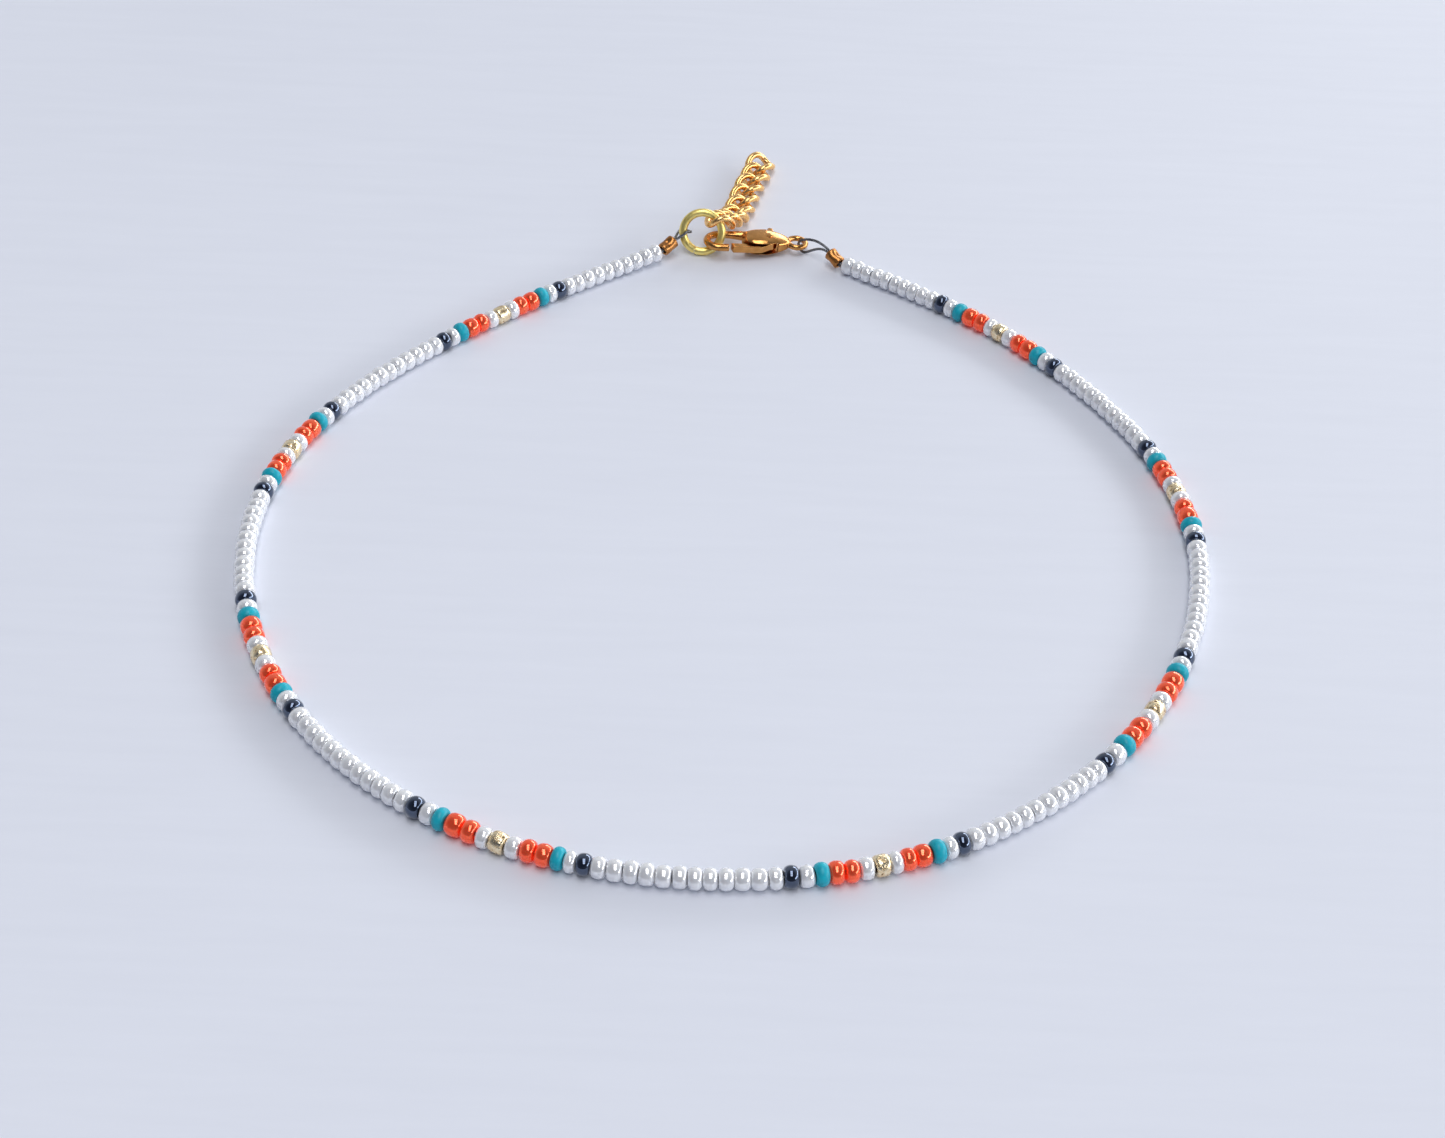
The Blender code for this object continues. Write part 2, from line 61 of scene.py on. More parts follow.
# Sizes that the pieces share with the solids, in metres and degrees
LOOP_MIDDLE = Vector((0.0, -0.0130, 0.0))
BEAD_DIAMETER = 0.0024
LEFT_END_LIFT = 0.0003
LEFT_END_RUN = 0.009
CLEARANCE = 0.0003
WIRE_DIAMETER = 0.00038
WIRE_LEG_GAP = 0.0001
CRIMP_WALL = 0.0002
CRIMP_LENGTH = 0.0022
LEFT_CRIMP_HEADING = 44.0
LEFT_CRIMP_RISE = 20.0
LEFT_CRIMP_DROP = 0.0003
RIGHT_CRIMP_HEADING = 136.0
RIGHT_CRIMP_RISE = 23.0
RIGHT_CRIMP_DROP = 0.00055
RING_DIAMETER = 0.0064
RING_WIRE = 0.0011
RING_TILT = 65.0
RING_REACH = 0.0017
LEFT_LOOP_ANGLE = 180.0
CHAIN_ANGLE = 36.0
CLASP_ANGLE = -26.0
EYE_DIAMETER = 0.0032
EYE_WIRE = 0.0008
BODY_LENGTH = 0.0067
BODY_WIDTH = 0.0042
BODY_THICKNESS = 0.0026
BODY_TAIL_SHARE = 0.62
BODY_ROUNDNESS = 3.0
BODY_REST_SHARE = 0.57
EYE_OVERLAP = 0.0007
HOOK_WIRE = 0.0010
HOOK_ROOT_WIRE = 0.0016
HOOK_BOWL_RADIUS = 0.00165
HOOK_REACH = 0.0032
NOSE_LENGTH = 0.0012
CLASP_HEADING = 187.0
PIN_DIAMETER = 0.0008
HUB_WALL = 0.00045
LEVER_THICKNESS = 0.0010
LEVER_OPENING = 18.0
HUB_START = 100.0
GATE_FILLET = 0.0005
GATE_WIDTH = 0.0009
NUB_WIDTH = 0.0008
NUB_STAND_OUT = 0.0009
NUB_SET_BACK = 0.0001
PIN_OFFSET = 0.0002
PIN_BACK = 0.0003
LINK_WIRE = 0.0009
LINK_LENGTH = 0.0052
LINK_WIDTH = 0.0044
LINK_TWIST = 45.0
LINK_COUNT = 8

# Route of the strand on the floor, from the middle of the neck loop
STRAND_ROUTE = [
    (-0.0102, 0.0578),
    (-0.0201, 0.0503),
    (-0.0297, 0.0421),
    (-0.0386, 0.0332),
    (-0.0464, 0.0233),
    (-0.0523, 0.0122),
    (-0.0551, -0.0001),
    (-0.0546, -0.0127),
    (-0.0512, -0.0248),
    (-0.0451, -0.0358),
    (-0.0366, -0.0450),
    (-0.0261, -0.0519),
    (-0.0142, -0.0563),
    (-0.0018, -0.0579),
    (0.0108, -0.0568),
    (0.0228, -0.0530),
    (0.0335, -0.0464),
    (0.0425, -0.0376),
    (0.0493, -0.0270),
    (0.0537, -0.0152),
    (0.0554, -0.0027),
    (0.0539, 0.0098),
    (0.0495, 0.0215),
    (0.0428, 0.0322),
    (0.0347, 0.0418),
    (0.0249, 0.0498),
    (0.0150, 0.0566),
]

# Route of the chain after the ring, from the middle of the neck loop, with its height
CHAIN_ROUTE = [
    (-0.0010, 0.0648, 0.0028),
    (-0.0001, 0.0678, 0.0014),
    (0.0008, 0.0711, 0.0011),
    (0.0013, 0.0745, 0.0011),
    (0.0022, 0.0778, 0.0011),
    (0.0031, 0.0811, 0.0011),
    (0.0036, 0.0845, 0.0011),
    (0.0035, 0.0879, 0.0011),
    (0.0030, 0.0912, 0.0011),
]

# Order of the beads, from the left end round the front to the right end
GROUP = ["navy", "white", "turquoise", "orange", "orange", "white", "gold",
         "white", "orange", "orange", "turquoise", "white", "navy"]
GROUP_COUNT = 8
BEADS_BETWEEN = 12
BEADS_AT_END = 10

# Beads counted from a group's start to a navy or turquoise or gold middle, or between two orange beads
GROUP_MARKS = [0.5, 2.5, 4.0, 6.5, 9.0, 10.5, 12.5]

# Millimetres along the strand from its left end to those marks, for each group
GROUP_PLACES = [
    (16.4, 19.2, 21.9, 25.9, 29.9, 32.6, 35.4),
    (55.6, 58.2, 60.9, 64.6, 68.1, 70.5, 73.2),
    (93.3, 96.3, 99.0, 103.1, 107.3, 110.0, 112.8),
    (133.3, 136.5, 139.2, 143.3, 147.4, 149.9, 152.4),
    (173.4, 176.4, 178.8, 182.7, 186.3, 188.9, 191.6),
    (211.8, 215.5, 218.1, 222.4, 226.6, 229.4, 232.2),
    (253.6, 256.3, 259.1, 262.9, 266.8, 269.2, 271.9),
    (291.8, 294.7, 297.6, 301.7, 305.7, 308.5, 311.4),
]

# Each colour's share of the mean pitch and of the bead diameter, its squareness and its unevenness
BEAD_KINDS = {
    "white": (1.00, 0.99, 2.20, 1.0),
    "navy": (1.02, 1.01, 2.15, 1.0),
    "turquoise": (0.90, 1.05, 2.05, 0.7),
    "orange": (1.02, 1.02, 2.20, 1.0),
    "gold": (1.10, 0.97, 3.20, 1.6),
}
HOLE_RADIUS = 0.00044
WAIST_SHARE = 0.24
BEAD_LENGTH_SHARE = 0.992
BEAD_SEGMENTS = 32
PROFILE_STEPS = 360
PROFILE_POINTS = 21

# How much the beads differ, as shares of their own sizes, in degrees where they lean
PITCH_SPREAD = 0.045
PITCH_LIMIT = 0.10
DIAMETER_SPREAD = 0.012
HOLE_SPREAD = 0.08
SQUARENESS_SPREAD = 0.15
OVAL_SHARE = 0.012
WEDGE_SPREAD = 0.02
SIDE_LEAN_SPREAD = 2.2
UP_LEAN_SPREAD = 1.8

# Sideways play of the beads and the lumps in their skin, in metres, with lumps to a millimetre
SIDE_PLAY_SPREAD = 0.00003
LUMP_HEIGHT = 0.00002
LUMP_SCALE = 1.6
GOLD_LUMP_HEIGHT = 0.00003
GOLD_LUMP_SCALE = 4.5
NOISE_RANGE = 99

# Finer shapes of the wire, ring, links and clasp, in metres and degrees
CORE_WIRE_STEP = 0.0012
WIRE_TUCK = 0.0012
CABLE_STEP = 0.00011
CABLE_LAY = 0.0021
LEG_POINTS = 26
LOOP_TURN_POINTS = 30
CRIMP_SIDES = 48
CRIMP_SQUEEZE_WIDTH = 0.26
CRIMP_FLATTENING = 0.20
CRIMP_CREASE = 0.16
CRIMP_CREASE_WIDTH = 0.20
RING_SEAM = 248.0
RING_SEAM_GAP = 0.00005
RING_POINTS = 150
LINK_POINTS = 72
LINK_SEAM_SWELL = 0.05
LINK_SEAM_POINTS = 1.6
EYE_POINTS = 56
HOOK_TURN_POINTS = 24
HUB_STEP = 6.0
GATE_TIP_POINTS = 8
NUB_POINTS = 12
RIVET_HEAD_SHARE = 1.3
RIVET_ANGLE = 30.0

# Voxels in millimetres and rounds of smoothing that melt the edges of the castings
BODY_VOXEL = 0.05
BODY_ROUNDS = 9
LEVER_VOXEL = 0.035
LEVER_ROUNDS = 30

# Heights of the bumps in the materials, in metres
GLASS_BUMP = 0.0000007
GOLD_BUMP = 0.00009
METAL_BUMP = 0.000002
FLOOR_BUMP = 0.00005

# Where the painted shade round a bead's hole, standing for the shade in the grooves between beads, starts
# and ends, as shares of the way out to its skin
HOLE_SHADE_START = 0.05
HOLE_SHADE_END = 0.45

# Camera of the photograph
IMAGE_WIDTH = 1445.0
FOCAL_PIXELS = 2414.26
SENSOR_WIDTH = 36.0
CAMERA_AIM = Vector((-0.0001, -0.0224, 0.0012))
CAMERA_OFFSET = Vector((0.0, -0.21417, 0.17683))
CAMERA_ROLL = 1.9685

# Floor, with half its width and the drop that keeps it clear of the beads, in metres
FLOOR_REACH = 12.0
FLOOR_DROP = 0.00002

# Headings of the row of windows on the right, in degrees
WINDOW_HEADINGS = [-24.0, 19.0, 62.0]

# Brightness of the room, from its far horizon to the part overhead on the camera's side
ROOM_DARK_SIDE = (-0.15, -0.62, 0.77)
ROOM_STOPS = [
    (0.0, (0.40, 0.42, 0.45)),
    (0.48, (0.53, 0.55, 0.58)),
    (0.66, (0.40, 0.42, 0.46)),
    (0.80, (0.14, 0.15, 0.19)),
    (1.0, (0.07, 0.08, 0.11)),
]


# Paths and swept shapes

def direction(heading, rise):
    turn = math.radians(heading)
    lift = math.radians(rise)
    flat = math.cos(lift)
    return Vector((flat * math.cos(turn), flat * math.sin(turn), math.sin(lift)))


def smooth_curve(points, steps=12):
    first = 2 * points[0] - points[1]
    last = 2 * points[-1] - points[-2]
    ends = [first, *points, last]
    dense = []
    for before, start, stop, after in zip(ends, ends[1:], ends[2:], ends[3:]):
        for step in range(steps):
            t = step / steps
            line = 2 * start + (stop - before) * t
            bend = (2 * before - 5 * start + 4 * stop - after) * t**2
            twist = (3 * start - before - 3 * stop + after) * t**3
            dense.append(0.5 * (line + bend + twist))
    dense.append(points[-1])
    return dense


def travelled(dense):
    lengths = [0.0]
    for start, stop in zip(dense, dense[1:]):
        lengths.append(lengths[-1] + (stop - start).length)
    return lengths


def point_at(dense, lengths, distance):
    last = len(dense) - 2
    index = next((i for i in range(last) if lengths[i + 1] > distance), last)
    share = (distance - lengths[index]) / (lengths[index + 1] - lengths[index])
    return dense[index].lerp(dense[index + 1], share)


def evenly(points, spacing):
    """The path with a point every so often along it."""
    lengths = travelled(points)
    count = max(2, round(lengths[-1] / spacing))
    result = []
    index = 0
    for step in range(count + 1):
        distance = lengths[-1] * step / count
        while index < len(points) - 2 and lengths[index + 1] < distance:
            index += 1
        span = lengths[index + 1] - lengths[index]
        share = (distance - lengths[index]) / span if span else 0.0
        result.append(points[index].lerp(points[index + 1], share))
    return result


def frames_along(points, closed=False):
    """Tangent and the two directions across the path at each point, turned as little as possible."""
    count = len(points)
    tangents = []
    for i in range(count):
        if closed:
            tangents.append((points[(i + 1) % count] - points[i - 1]).normalized())
        else:
            tangents.append((points[min(i + 1, count - 1)] - points[max(i - 1, 0)]).normalized())
    guide = UP if abs(tangents[0].z) < 0.9 else Vector((1.0, 0.0, 0.0))
    across = guide.cross(tangents[0]).normalized()
    sides = [across]
    for before, after in zip(tangents, tangents[1:]):
        across = before.rotation_difference(after) @ across
        across = (across - after * across.dot(after)).normalized()
        sides.append(across)
    if closed:
        end = tangents[-1].rotation_difference(tangents[0]) @ sides[-1]
        slip = math.atan2(end.cross(sides[0]).dot(tangents[0]), end.dot(sides[0]))
        sides = [
            Matrix.Rotation(slip * i / count, 3, tangents[i]) @ side for i, side in enumerate(sides)
        ]
    return [(tangent, side, tangent.cross(side)) for tangent, side in zip(tangents, sides)]


def band_faces(rings, sides, closed=False):
    """Faces between rings of vertices, where the last ring meets the first or both ends are capped."""
    faces = []
    for ring in range(rings if closed else rings - 1):
        low = ring * sides
        high = (ring + 1) % rings * sides
        for k in range(sides):
            after = (k + 1) % sides
            faces.append((low + k, low + after, high + after, high + k))
    if not closed:
        faces.append(tuple(reversed(range(sides))))
        faces.append(tuple(range((rings - 1) * sides, rings * sides)))
    return faces


def sweep(points, radii, sides, closed=False):
    """Vertices and faces of a round bar along the path, with flat ends."""
    verts = []
    frames = frames_along(points, closed)
    for point, radius, (tangent, side, above) in zip(points, radii, frames):
        for k in range(sides):
            angle = 2 * math.pi * k / sides
            verts.append(point + radius * (side * math.cos(angle) + above * math.sin(angle)))
    return verts, band_faces(len(points), sides, closed)


def linked(name, mesh):
    """Object of this mesh, in the scene."""
    piece = bpy.data.objects.new(name, mesh)
    bpy.context.scene.collection.objects.link(piece)
    return piece


def make_piece(name, verts, faces, material, smooth_angle=60.0):
    mesh = bpy.data.meshes.new(name)
    mesh.from_pydata([tuple(vert) for vert in verts], [], faces)
    mesh.update()
    mesh.materials.append(material)
    mesh.shade_smooth()
    mesh.set_sharp_from_angle(angle=math.radians(smooth_angle))
    return linked(name, mesh)


def join_shapes(shapes):
    verts = []
    faces = []
    for shape_verts, shape_faces in shapes:
        first = len(verts)
        verts += shape_verts
        faces += [tuple(first + index for index in face) for face in shape_faces]
    return verts, faces


def shifted(verts):
    return [vert + LOOP_MIDDLE for vert in verts]


# Materials

def add_node(material, kind, **inputs):
    node = material.node_tree.nodes.new(kind)
    for key, value in inputs.items():
        node.inputs[key.replace("_", " ")].default_value = value
    return node


def link(material, source, output, target, socket):
    material.node_tree.links.new(source.outputs[output], target.inputs[socket])


def feed(material, source, target, socket):
    """Link a (node, output) pair to a socket."""
    link(material, source[0], source[1], target, socket)


def base_material(name, **settings):
    material = bpy.data.materials.new(name)
    material.use_nodes = True
    shader = material.node_tree.nodes["Principled BSDF"]
    for key, value in settings.items():
        shader.inputs[key.replace("_", " ")].default_value = value
    return material, shader


def noise_node(material, scale, detail=3.0, roughness=0.55, stretch=None):
    """Noise in object space. Its scale is in features per metre."""
    place = material.node_tree.nodes.new("ShaderNodeTexCoord")
    pattern = add_node(material, "ShaderNodeTexNoise", Scale=scale, Detail=detail, Roughness=roughness)
    if stretch:
        mapping = add_node(material, "ShaderNodeMapping", Scale=stretch)
        link(material, place, "Object", mapping, "Vector")
        link(material, mapping, "Vector", pattern, "Vector")
    else:
        link(material, place, "Object", pattern, "Vector")
    return pattern


def attribute_node(material, name):
    node = material.node_tree.nodes.new("ShaderNodeAttribute")
    node.attribute_name = name
    return node


def ramp_node(material, stops):
    node = material.node_tree.nodes.new("ShaderNodeValToRGB")
    ramp = node.color_ramp
    while len(ramp.elements) < len(stops):
        ramp.elements.new(0.5)
    for element, (place, colour) in zip(ramp.elements, stops):
        element.position = place
        element.color = (*colour, 1.0)
    return node


def mix_colours(material, factor, first, second):
    """Colour mix. Each of its inputs is a colour, a number or a (node, output) pair."""
    node = material.node_tree.nodes.new("ShaderNodeMix")
    node.data_type = "RGBA"
    node.blend_type = "MIX"
    node.clamp_factor = True
    for socket, value in ((node.inputs[0], factor), (node.inputs[6], first), (node.inputs[7], second)):
        if isinstance(value, tuple) and isinstance(value[0], bpy.types.Node):
            material.node_tree.links.new(value[0].outputs[value[1]], socket)
        elif isinstance(value, tuple):
            socket.default_value = (*value, 1.0)
        else:
            socket.default_value = value
    return node, 2


def map_range(material, source, low, high, to_low, to_high):
    node = material.node_tree.nodes.new("ShaderNodeMapRange")
    node.inputs["From Min"].default_value = low
    node.inputs["From Max"].default_value = high
    node.inputs["To Min"].default_value = to_low
    node.inputs["To Max"].default_value = to_high
    feed(material, source, node, "Value")
    return node, "Result"


def add_bump(material, shader, source, height, strength=1.0):
    """Bump of this height in metres."""
    bump = add_node(material, "ShaderNodeBump", Distance=height, Strength=strength)
    feed(material, source, bump, "Height")
    link(material, bump, "Normal", shader, "Normal")


def glass_material(name, dark, light, scale, **settings):
    """Glass of a slightly cloudy colour. Returns the material, its shader and its colour."""
    material, shader = base_material(name, **settings)
    cloud = noise_node(material, scale, 2.0)
    colour = ramp_node(material, [(0.32, dark), (0.68, light)])
    link(material, cloud, "Fac", colour, "Fac")
    tone = attribute_node(material, "tone")
    shade = map_range(material, (tone, "Fac"), 0.0, 1.0, 0.0, 0.30)
    varied = mix_colours(material, shade, (colour, "Color"), dark)
    return material, shader, varied


def colour_bead(material, shader, colour, hole_shade_colour):
    """Colour the bead, darker round its hole with painted shade for the grooves where beads meet."""
    radial = attribute_node(material, "radial")
    # Mask of the painted shade: full at the hole, none out towards the skin.
    rim = map_range(material, (radial, "Fac"), HOLE_SHADE_START, HOLE_SHADE_END, 1.0, 0.0)
    mixed = mix_colours(material, rim, colour, hole_shade_colour)
    feed(material, mixed, shader, "Base Color")


def finish_bead(material, shader, colour, hole_shade_colour):
    """Paint shade on the hole's rim and give the skin its fine unevenness."""
    colour_bead(material, shader, colour, hole_shade_colour)
    fine = noise_node(material, 4200.0, 2.0)
    add_bump(material, shader, (fine, "Fac"), GLASS_BUMP)
    return material


def make_bead_materials():
    made = {}
    # The last colour passed to finish_bead and colour_bead is painted shade round the hole, standing for
    # the shade in the grooves where beads meet.
    material, shader, colour = glass_material(
        "pearl_white_glass", (0.91, 0.92, 0.96), (0.97, 0.98, 1.0), 1400.0, Metallic=0.37, Roughness=0.11,
        IOR=1.5, Coat_Weight=0.4, Coat_Roughness=0.04, Subsurface_Weight=0.6, Subsurface_Scale=0.0010)
    shader.inputs["Subsurface Radius"].default_value = (1.0, 0.95, 0.9)
    made["white"] = finish_bead(material, shader, colour, (0.70, 0.70, 0.75))

    material, shader, colour = glass_material(
        "navy_glass", (0.048, 0.070, 0.120), (0.080, 0.110, 0.178), 900.0, Metallic=1.0, Roughness=0.03,
        Coat_Weight=1.0, Coat_Roughness=0.02)
    made["navy"] = finish_bead(material, shader, colour, (0.002, 0.002, 0.004))

    material, shader, colour = glass_material(
        "turquoise_glass", (0.002, 0.370, 0.480), (0.005, 0.470, 0.590), 1600.0, Roughness=0.45, IOR=1.4,
        Coat_Weight=0.18, Coat_Roughness=0.25, Subsurface_Weight=0.4, Subsurface_Scale=0.0006)
    shader.inputs["Subsurface Radius"].default_value = (0.1, 0.9, 1.0)
    made["turquoise"] = finish_bead(material, shader, colour, (0.002, 0.22, 0.28))

    # The orange glass has a painted glow: its emission brightens the beads, though they are no lamp.
    material, shader, colour = glass_material(
        "orange_glass", (1.0, 0.105, 0.032), (1.0, 0.160, 0.058), 1200.0, Metallic=0.68, Roughness=0.08,
        IOR=1.5, Coat_Weight=0.7, Coat_Roughness=0.03, Subsurface_Weight=0.6,
        Subsurface_Scale=0.0007, Emission_Strength=0.16)
    shader.inputs["Subsurface Radius"].default_value = (1.0, 0.16, 0.06)
    shader.inputs["Emission Color"].default_value = (1.0, 0.060, 0.018, 1.0)
    made["orange"] = finish_bead(material, shader, colour, (0.90, 0.025, 0.010))

    material, shader = base_material(
        "gold_glass", Metallic=1.0, Roughness=0.16, Coat_Weight=0.5, Coat_Roughness=0.05)
    cloud = noise_node(material, 2300.0, 4.0, 0.6)
    colour = ramp_node(material, [(0.33, (0.22, 0.14, 0.06)), (0.42, (0.93, 0.70, 0.40)),
                                  (0.60, (1.0, 0.87, 0.60))])
    link(material, cloud, "Fac", colour, "Fac")
    colour_bead(material, shader, (colour, "Color"), (0.42, 0.29, 0.14))
    rough = map_range(material, (cloud, "Fac"), 0.3, 0.7, 0.34, 0.10)
    feed(material, rough, shader, "Roughness")
    add_bump(material, shader, (cloud, "Fac"), GOLD_BUMP)
    made["gold"] = material
    return made


def metal_material(name, dark, light, roughness):
    """Polished plated metal with faint rubbed patches and fine scratches."""
    material, shader = base_material(name, Metallic=1.0)
    patches = noise_node(material, 900.0, 3.0)
    colour = ramp_node(material, [(0.30, dark), (0.62, light)])
    link(material, patches, "Fac", colour, "Fac")
    link(material, colour, "Color", shader, "Base Color")
    scratches = noise_node(material, 5000.0, 2.0, 0.5, stretch=(1.0, 0.08, 1.0))
    rough = map_range(material, (scratches, "Fac"), 0.3, 0.7, roughness * 0.75, roughness * 1.35)
    feed(material, rough, shader, "Roughness")
    both = mix_colours(material, 0.5, (patches, "Fac"), (scratches, "Fac"))
    add_bump(material, shader, both, METAL_BUMP)
    return material


def floor_material():
    material, shader = base_material("pale_floor", Roughness=0.55, IOR=1.45)
    grain = noise_node(material, 420.0, 4.0, 0.6, stretch=(0.10, 1.0, 1.0))
    broad = noise_node(material, 14.0, 2.0, 0.5)
    colour = ramp_node(material, [(0.30, (0.735, 0.762, 0.845)), (0.70, (0.765, 0.792, 0.875))])
    mixed = mix_colours(material, 0.35, (grain, "Fac"), (broad, "Fac"))
    feed(material, mixed, colour, "Fac")
    link(material, colour, "Color", shader, "Base Color")
    add_bump(material, shader, (grain, "Fac"), FLOOR_BUMP, 0.6)
    return material


# Beads

def strand_line():
    """Dense middle line of the strand, lifting off the floor towards its left end."""
    flat = smooth_curve([Vector((x, y, 0.0)) for x, y in STRAND_ROUTE])
    dense = []
    for point, distance in zip(flat, travelled(flat)):
        share = max(0.0, 1.0 - distance / LEFT_END_RUN)
        dense.append(point + UP * (BEAD_DIAMETER / 2 + LEFT_END_LIFT * share**2))
    return dense


def bead_order():
    order = ["white"] * BEADS_AT_END
    for index in range(GROUP_COUNT):
        if index:
            order += ["white"] * BEADS_BETWEEN
        order += GROUP
    return order + ["white"] * BEADS_AT_END


def bead_profile(length, radius, hole, squareness):
    """Closed section of a bead as (along, out) points, spaced evenly."""
    waist = hole + (radius - hole) * WAIST_SHARE
    dense = []
    for step in range(PROFILE_STEPS):
        angle = 2 * math.pi * step / PROFILE_STEPS
        cosine = math.cos(angle)
        sine = math.sin(angle)
        power = 2 / (squareness if sine > 0 else 2.0)
        depth = radius - waist if sine > 0 else waist - hole
        along = length / 2 * math.copysign(abs(cosine) ** power, cosine)
        out = waist + depth * math.copysign(abs(sine) ** power, sine)
        dense.append(Vector((along, out, 0.0)))
    dense.append(dense[0].copy())
    lengths = travelled(dense)
    return [point_at(dense, lengths, lengths[-1] * i / PROFILE_POINTS) for i in range(PROFILE_POINTS)]


def bead_shape(centre, forward, length, radius, kind, seed):
    """One bead on the strand, a little uneven as pressed glass is."""
    rough = BEAD_KINDS[kind][3]
    squareness = BEAD_KINDS[kind][2] + seed.uniform(-SQUARENESS_SPREAD, SQUARENESS_SPREAD)
    hole = HOLE_RADIUS * seed.uniform(1.0 - HOLE_SPREAD, 1.0 + HOLE_SPREAD)
    profile = bead_profile(length, radius, hole, squareness)
    side = UP.cross(forward).normalized()
    above = forward.cross(side)
    lean_side = math.radians(seed.gauss(0.0, SIDE_LEAN_SPREAD))
    lean_up = math.radians(seed.gauss(0.0, UP_LEAN_SPREAD))
    turn = Matrix.Rotation(lean_side, 3, above) @ Matrix.Rotation(lean_up, 3, side)
    forward, side, above = turn @ forward, turn @ side, turn @ above
    oval = OVAL_SHARE * rough * seed.random()
    oval_turn = seed.uniform(0.0, math.pi)
    wedge = seed.gauss(0.0, WEDGE_SPREAD) * rough
    wedge_turn = seed.uniform(0.0, 2 * math.pi)
    offset = Vector([seed.uniform(-NOISE_RANGE, NOISE_RANGE) for _ in range(3)])
    verts = []
    radial = []
    for k in range(BEAD_SEGMENTS):
        angle = 2 * math.pi * k / BEAD_SEGMENTS
        out_way = side * math.cos(angle) + above * math.sin(angle)
        swell = 1.0 + oval * math.cos(2 * (angle - oval_turn))
        lean = 1.0 + wedge * math.cos(angle - wedge_turn) * 2
        for along, out, _ in profile:
            spot = forward * along * lean + out_way * out * swell
            lump = noise.noise(spot / MM * LUMP_SCALE + offset) * LUMP_HEIGHT * rough
            if kind == "gold":
                lump += noise.noise(spot / MM * GOLD_LUMP_SCALE + offset) * GOLD_LUMP_HEIGHT
            verts.append(centre + spot + out_way * lump)
            radial.append((out - hole) / (radius - hole))
    return verts, band_faces(BEAD_SEGMENTS, PROFILE_POINTS, closed=True), radial


def stretched(known, value):
    """Value carried over from one scale to the other, in straight stretches between known pairs."""
    for (low, low_place), (high, high_place) in zip(known, known[1:]):
        if value <= high:
            return low_place + (high_place - low_place) * (value - low) / (high - low)
    return known[-1][1]


def bead_ends(order, strand_length, seed):
    """Places along the strand where the beads meet, with each group where it lies in the photo."""
    ends = [0.0]
    for kind in order:
        change = max(-PITCH_LIMIT, min(PITCH_LIMIT, seed.gauss(0.0, PITCH_SPREAD)))
        ends.append(ends[-1] + BEAD_KINDS[kind][0] * (1.0 + change))
    known = [(0.0, 0.0)]
    for index, row in enumerate(GROUP_PLACES):
        first = BEADS_AT_END + index * (len(GROUP) + BEADS_BETWEEN)
        for mark, place in zip(GROUP_MARKS, row):
            before = first + int(mark)
            known.append((ends[before] + (ends[before + 1] - ends[before]) * (mark % 1.0), place * MM))
    known.append((ends[-1], strand_length))
    return [stretched(known, end) for end in ends]


def make_beads(line, materials):
    """One piece per colour, with the beads side by side along the strand."""
    seed = random.Random(11)
    order = bead_order()
    lengths = travelled(line)
    places = bead_ends(order, lengths[-1], seed)
    parts = {kind: ([], [], [], []) for kind in BEAD_KINDS}
    for kind, start, stop in zip(order, places, places[1:]):
        near = point_at(line, lengths, start)
        far = point_at(line, lengths, stop)
        radius = BEAD_DIAMETER / 2 * BEAD_KINDS[kind][1] * (1.0 + seed.gauss(0.0, DIAMETER_SPREAD))
        centre = (near + far) / 2
        centre.z += radius - BEAD_DIAMETER / 2
        centre += UP.cross(far - near).normalized() * seed.gauss(0.0, SIDE_PLAY_SPREAD)
        forward = (far - near).normalized()
        length = (stop - start) * BEAD_LENGTH_SHARE
        verts, faces, radial = bead_shape(centre, forward, length, radius, kind, seed)
        all_verts, all_faces, all_radial, tones = parts[kind]
        first = len(all_verts)
        all_verts += verts
        all_faces += [tuple(first + index for index in face) for face in faces]
        all_radial += radial
        tones += [seed.random()] * len(verts)
    pieces = []
    for kind, (verts, faces, radial, tones) in parts.items():
        piece = make_piece(f"{kind}_beads", shifted(verts), faces, materials[kind], 80.0)
        piece.data.attributes.new("radial", "FLOAT", "POINT").data.foreach_set("value", radial)
        piece.data.attributes.new("tone", "FLOAT", "POINT").data.foreach_set("value", tones)
        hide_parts("bead_strand")
        pieces.append(piece)
    return pieces


def make_core_wire(line, material):
    """Wire inside the beads, seen where two beads leave a gap."""
    points = evenly(line, CORE_WIRE_STEP)
    verts, faces = sweep(points, [WIRE_DIAMETER / 2] * len(points), 8)
    piece = make_piece("strand_wire", shifted(verts), faces, material)
    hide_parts("bead_strand")
    return piece


# Wire loops and crimps

def crimp_bore_radius():
    return WIRE_LEG_GAP / 2 + WIRE_DIAMETER + CLEARANCE


def crimp_start(end, tangent, axis, drop):
    turn = tangent.angle(axis)
    corner = (crimp_bore_radius() + CRIMP_WALL) * math.sin(turn)
    return end + axis * (CLEARANCE + corner) / math.cos(turn) - UP * drop


def cable(path, radius):
    """Six fine wires laid round a seventh, as in steel beading wire."""
    points = evenly(path, CABLE_STEP)
    frames = frames_along(points)
    lengths = travelled(points)
    fine = radius / 3
    shapes = [sweep(points, [fine] * len(points), 6)]
    for strand in range(6):
        around = []
        for point, distance, (_, side, above) in zip(points, lengths, frames):
            angle = 2 * math.pi * (distance / CABLE_LAY + strand / 6)
            around.append(point + 2 * fine * (side * math.cos(angle) + above * math.sin(angle)))
        shapes.append(sweep(around, [fine] * len(around), 8))
    return join_shapes(shapes)


